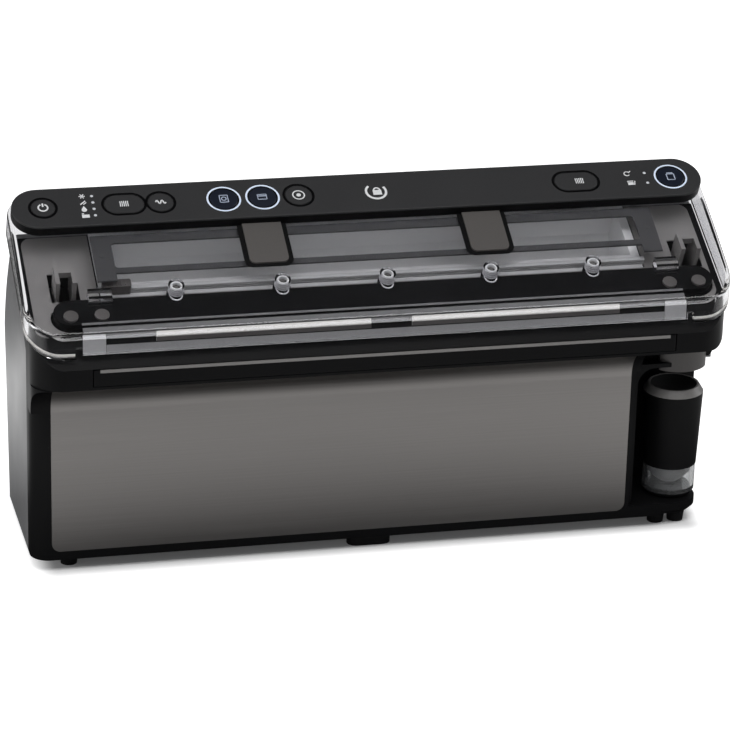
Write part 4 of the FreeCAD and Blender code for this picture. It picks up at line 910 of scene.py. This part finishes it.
# %% Etched faces along the front edge
FRONT = -59.2               # just behind the clear front wall
LIP_LOW = 133.1             # heights of the etched lip
LIP_HIGH = 137.4
PALE_SPANS = ((-130.0, -11.0), (12.0, 131.0))
DARK_SPANS = ((-157.3, -130.2), (-10.8, 11.8), (131.2, 157.3))
LIP_SPAN = ((-157.3, 157.3),)
BRIGHT_RIM = ((-126.0, 112.0),)
BLOCK_SPANS = ((-170.0, -157.5), (157.5, 170.0))
LONG_SPAN = ((-169.5, 169.5),)
# Profiles in y and z, from a start to an end, with a thickness
LIP = thin_profile((FRONT + 0.1, LIP_LOW), (FRONT + 0.1, LIP_HIGH), 0.25)
LIP_RIM = thin_profile((FRONT - 0.03, LIP_LOW), (FRONT - 0.03, LIP_LOW + 0.7), 0.1)
SHADE = thin_profile((FRONT, LIP_HIGH + 0.7), (FRONT, LIP_HIGH + 3.0), 0.2)
BLOCK = thin_profile((FRONT, LIP_LOW), (FRONT, LIP_HIGH + 3.5), 0.6)
SLANT = thin_profile((-59.13, 141.05), (-57.87, 143.27), 0.22)
# Two more that lie on the slope, in u and n
FACE_BAND = thin_profile((7.9, 8.0), (10.9, 8.34), 0.24)
FACE_LINE = thin_profile((12.7, 8.54), (14.1, 8.7), 0.24)
sheets("milky_lip", (LIP,), LIP_SPAN, etched_clear)
# Painted highlight along the lower rim of the lip.
sheets("painted_lip_rim_highlight", (LIP_RIM,), BRIGHT_RIM, bright_painted_highlight)
sheets("milky_end_blocks", (BLOCK, SLANT), BLOCK_SPANS, frosted_end)
# Dim painted highlight on the slanted face where there is no strip.
sheets("slant_faces", (SLANT,), DARK_SPANS, dim_painted_highlight)
sheets("strip_faces", (SLANT,), PALE_SPANS, pale_silicone_and_painted_highlight)
# Grey sheet of painted shade under the pale strip.
sheets("strip_shades", (SHADE,), PALE_SPANS, warm_grey_and_painted_shade)
# Painted highlight line and band under the front of the lid face.
sheets("painted_edge_highlights", (FACE_BAND, FACE_LINE), LONG_SPAN, dim_painted_highlight, drawn_out_on_slope)
print("etched faces along", LONG_SPAN[0][1] - LONG_SPAN[0][0], "mm of the lid")

# %% [markdown]
# ## Painted highlights on the rims of the ears
# The lid ends in two ears that hang over the front corners. Their lower edge shows a white line, which is a
# painted highlight: a pale ribbon inside the wall. The ribbon follows the front, turns the rounded corner and
# climbs along the side. Each station of the ribbon is a small rectangle, and joining the stations gives a
# closed band.

# %% Ribbons in the lower edge of the ears
EAR_IN = 174.4              # the ear begins here beside its notch
EAR_LOW = 131.0             # height of its lower edge at the front
EAR_FRONT_Y = -62.25
EAR_BEND_Y = -50.0          # here the lower edge of the ear meets the slope of the lid
EAR_SIDE_Y = -30.0          # here the ribbon ends
EAR_RISE = 0.6
CORNER_X = 180.0
CORNER_Y = -42.25
CORNER_RADIUS = 17.0        # of the inside of the wall
CORNER_STEPS = 12
RIM_INNER = 0.4             # faces and edges of the ribbon inside the wall
RIM_OUTER = 0.9
RIM_LOW = 0.2
RIM_HIGH = 1.1


def rim_height(y):
    """Height of the lid's lower edge at a place towards the rear."""
    if y < EAR_BEND_Y:
        return EAR_LOW + EAR_RISE * (y - EAR_FRONT_Y)
    return SLOPE_PLACE.z + math.tan(SLOPE) * (y - SLOPE_PLACE.y)


def ear_path(offset):
    """Points along the ear in plan, set out from the inside of the wall."""
    reach = CORNER_RADIUS + offset
    points = [(EAR_IN, CORNER_Y - reach)]
    points += arc(CORNER_X, CORNER_Y, reach, -90, 0, CORNER_STEPS)
    return points + [(CORNER_X + reach, EAR_SIDE_Y)]


section = ((RIM_INNER, RIM_LOW), (RIM_OUTER, RIM_LOW), (RIM_OUTER, RIM_HIGH), (RIM_INNER, RIM_HIGH))
build = bmesh.new()
for side in (-1, 1):
    lines = []
    for offset, lift in section:
        stations = [upright(side * x, rim_height(y) + lift, y) for x, y in ear_path(offset)]
        lines.append([build.verts.new(station) for station in stations])
    rings = list(zip(*lines))
    join_rings(build, rings)
    build.faces.new(rings[0])
    build.faces.new(rings[-1])
# The pale ribbons are painted highlights.
finished_piece("painted_ear_rim_highlights", build, pale_silicone_and_painted_highlight, "lid")
print("two rims of", len(ear_path(RIM_INNER)), "stations")

# %% [markdown]
# ## Non-stick tape
# The heating strip is covered with woven glass tape that is coated with a brown non-stick resin, so that a
# melted bag doesn't stick. It is a thin sheet that drapes over the strip: flat on top and bent down at both
# edges.

# %% Brown tape over the heating strip
TAPE_HALF = 159.0
TAPE_PROFILE = ((8.7, -0.74), (9.3, -0.7), (9.8, -0.42), (12.2, -0.42), (12.7, -0.7), (13.3, -0.74))
TAPE_SHEET = 0.12
tape_outline = list(TAPE_PROFILE) + [(u, n + TAPE_SHEET) for u, n in reversed(TAPE_PROFILE)]
build = bmesh.new()
add_prism(build, tape_outline, -TAPE_HALF, TAPE_HALF, drawn_out_on_slope)
finished_piece("heat_tape", build, glass_tape, "base")
print("tape is", 2 * TAPE_HALF, "mm long")

# %% [markdown]
# ## Turned parts of the handheld sealer
# The grey cap of the handheld sealer is hollowed to a dark, soft dish for a finger, and in its clear cup a
# milky funnel keeps drawn-up liquid away from the air hole. Both are round, so each is a profile that is
# turned about the upright axis of the sealer, as on a lathe. The dish is a shallow part of a sphere, and its
# lining follows that sphere a quarter of a millimetre above it.

# %% Dish lining and funnel
WAND_X = 177.0
WAND_Y = -26.75
WAND_TOP = 81.3
DISH_RADIUS = 13.8
DISH_DEPTH = 4.0
DISH_SPHERE = (DISH_RADIUS ** 2 + DISH_DEPTH ** 2) / (2 * DISH_DEPTH)
LINING_LOW = 0.02           # faces of the lining over the dish
LINING_HIGH = 0.25
LINING_RIM = 0.6            # the lining ends this far inside the rim of the dish
RINGS = 8
TURNS = 48
MERGE = 0.001 * MM          # points on the axis closer than this become one
FUNNEL_PROFILE = ((12.6, 32.0), (12.4, 29.0), (9.0, 24.6), (6.0, 22.0),
                  (5.2, 22.0), (8.4, 25.2), (11.6, 29.4), (11.8, 32.0))


def add_turned(build, profile, closed):
    """Adds what a profile of reach and height sweeps out when it turns about the axis of the sealer."""
    rings = []
    angles = [2 * math.pi * turn / TURNS for turn in range(TURNS)]
    for reach, height in profile:
        around = [(WAND_X + reach * math.cos(angle), WAND_Y + reach * math.sin(angle)) for angle in angles]
        rings.append([build.verts.new(upright(x, height, y)) for x, y in around])
    join_rings(build, rings + rings[:1] if closed else rings)
    bmesh.ops.remove_doubles(build, verts=build.verts, dist=MERGE)


def smooth(piece, angle=40):
    """Shades a turned piece smooth, but keeps edges that are sharper than the angle."""
    piece.data.shade_smooth()
    piece.data.set_sharp_from_angle(angle=math.radians(angle))


def dish_height(reach, lift):
    """Height of the dish surface at a distance from its axis."""
    return WAND_TOP + DISH_SPHERE - DISH_DEPTH - math.sqrt(DISH_SPHERE ** 2 - reach ** 2) + lift


reaches = [(DISH_RADIUS - LINING_RIM) * ring / RINGS for ring in range(RINGS + 1)]
lining_profile = [(reach, dish_height(reach, LINING_LOW)) for reach in reaches]
lining_profile += [(reach, dish_height(reach, LINING_HIGH)) for reach in reversed(reaches)]
build = bmesh.new()
add_turned(build, lining_profile, False)
smooth(finished_piece("dish_lining", build, black_rubber, "handheld"))
build = bmesh.new()
add_turned(build, FUNNEL_PROFILE, True)
# The light tone of the funnel is a painted highlight.
smooth(finished_piece("cup_funnel", build, bright_painted_highlight, "reservoir"))
print("dish is", 2 * DISH_RADIUS, "mm across and", DISH_DEPTH, "mm deep")
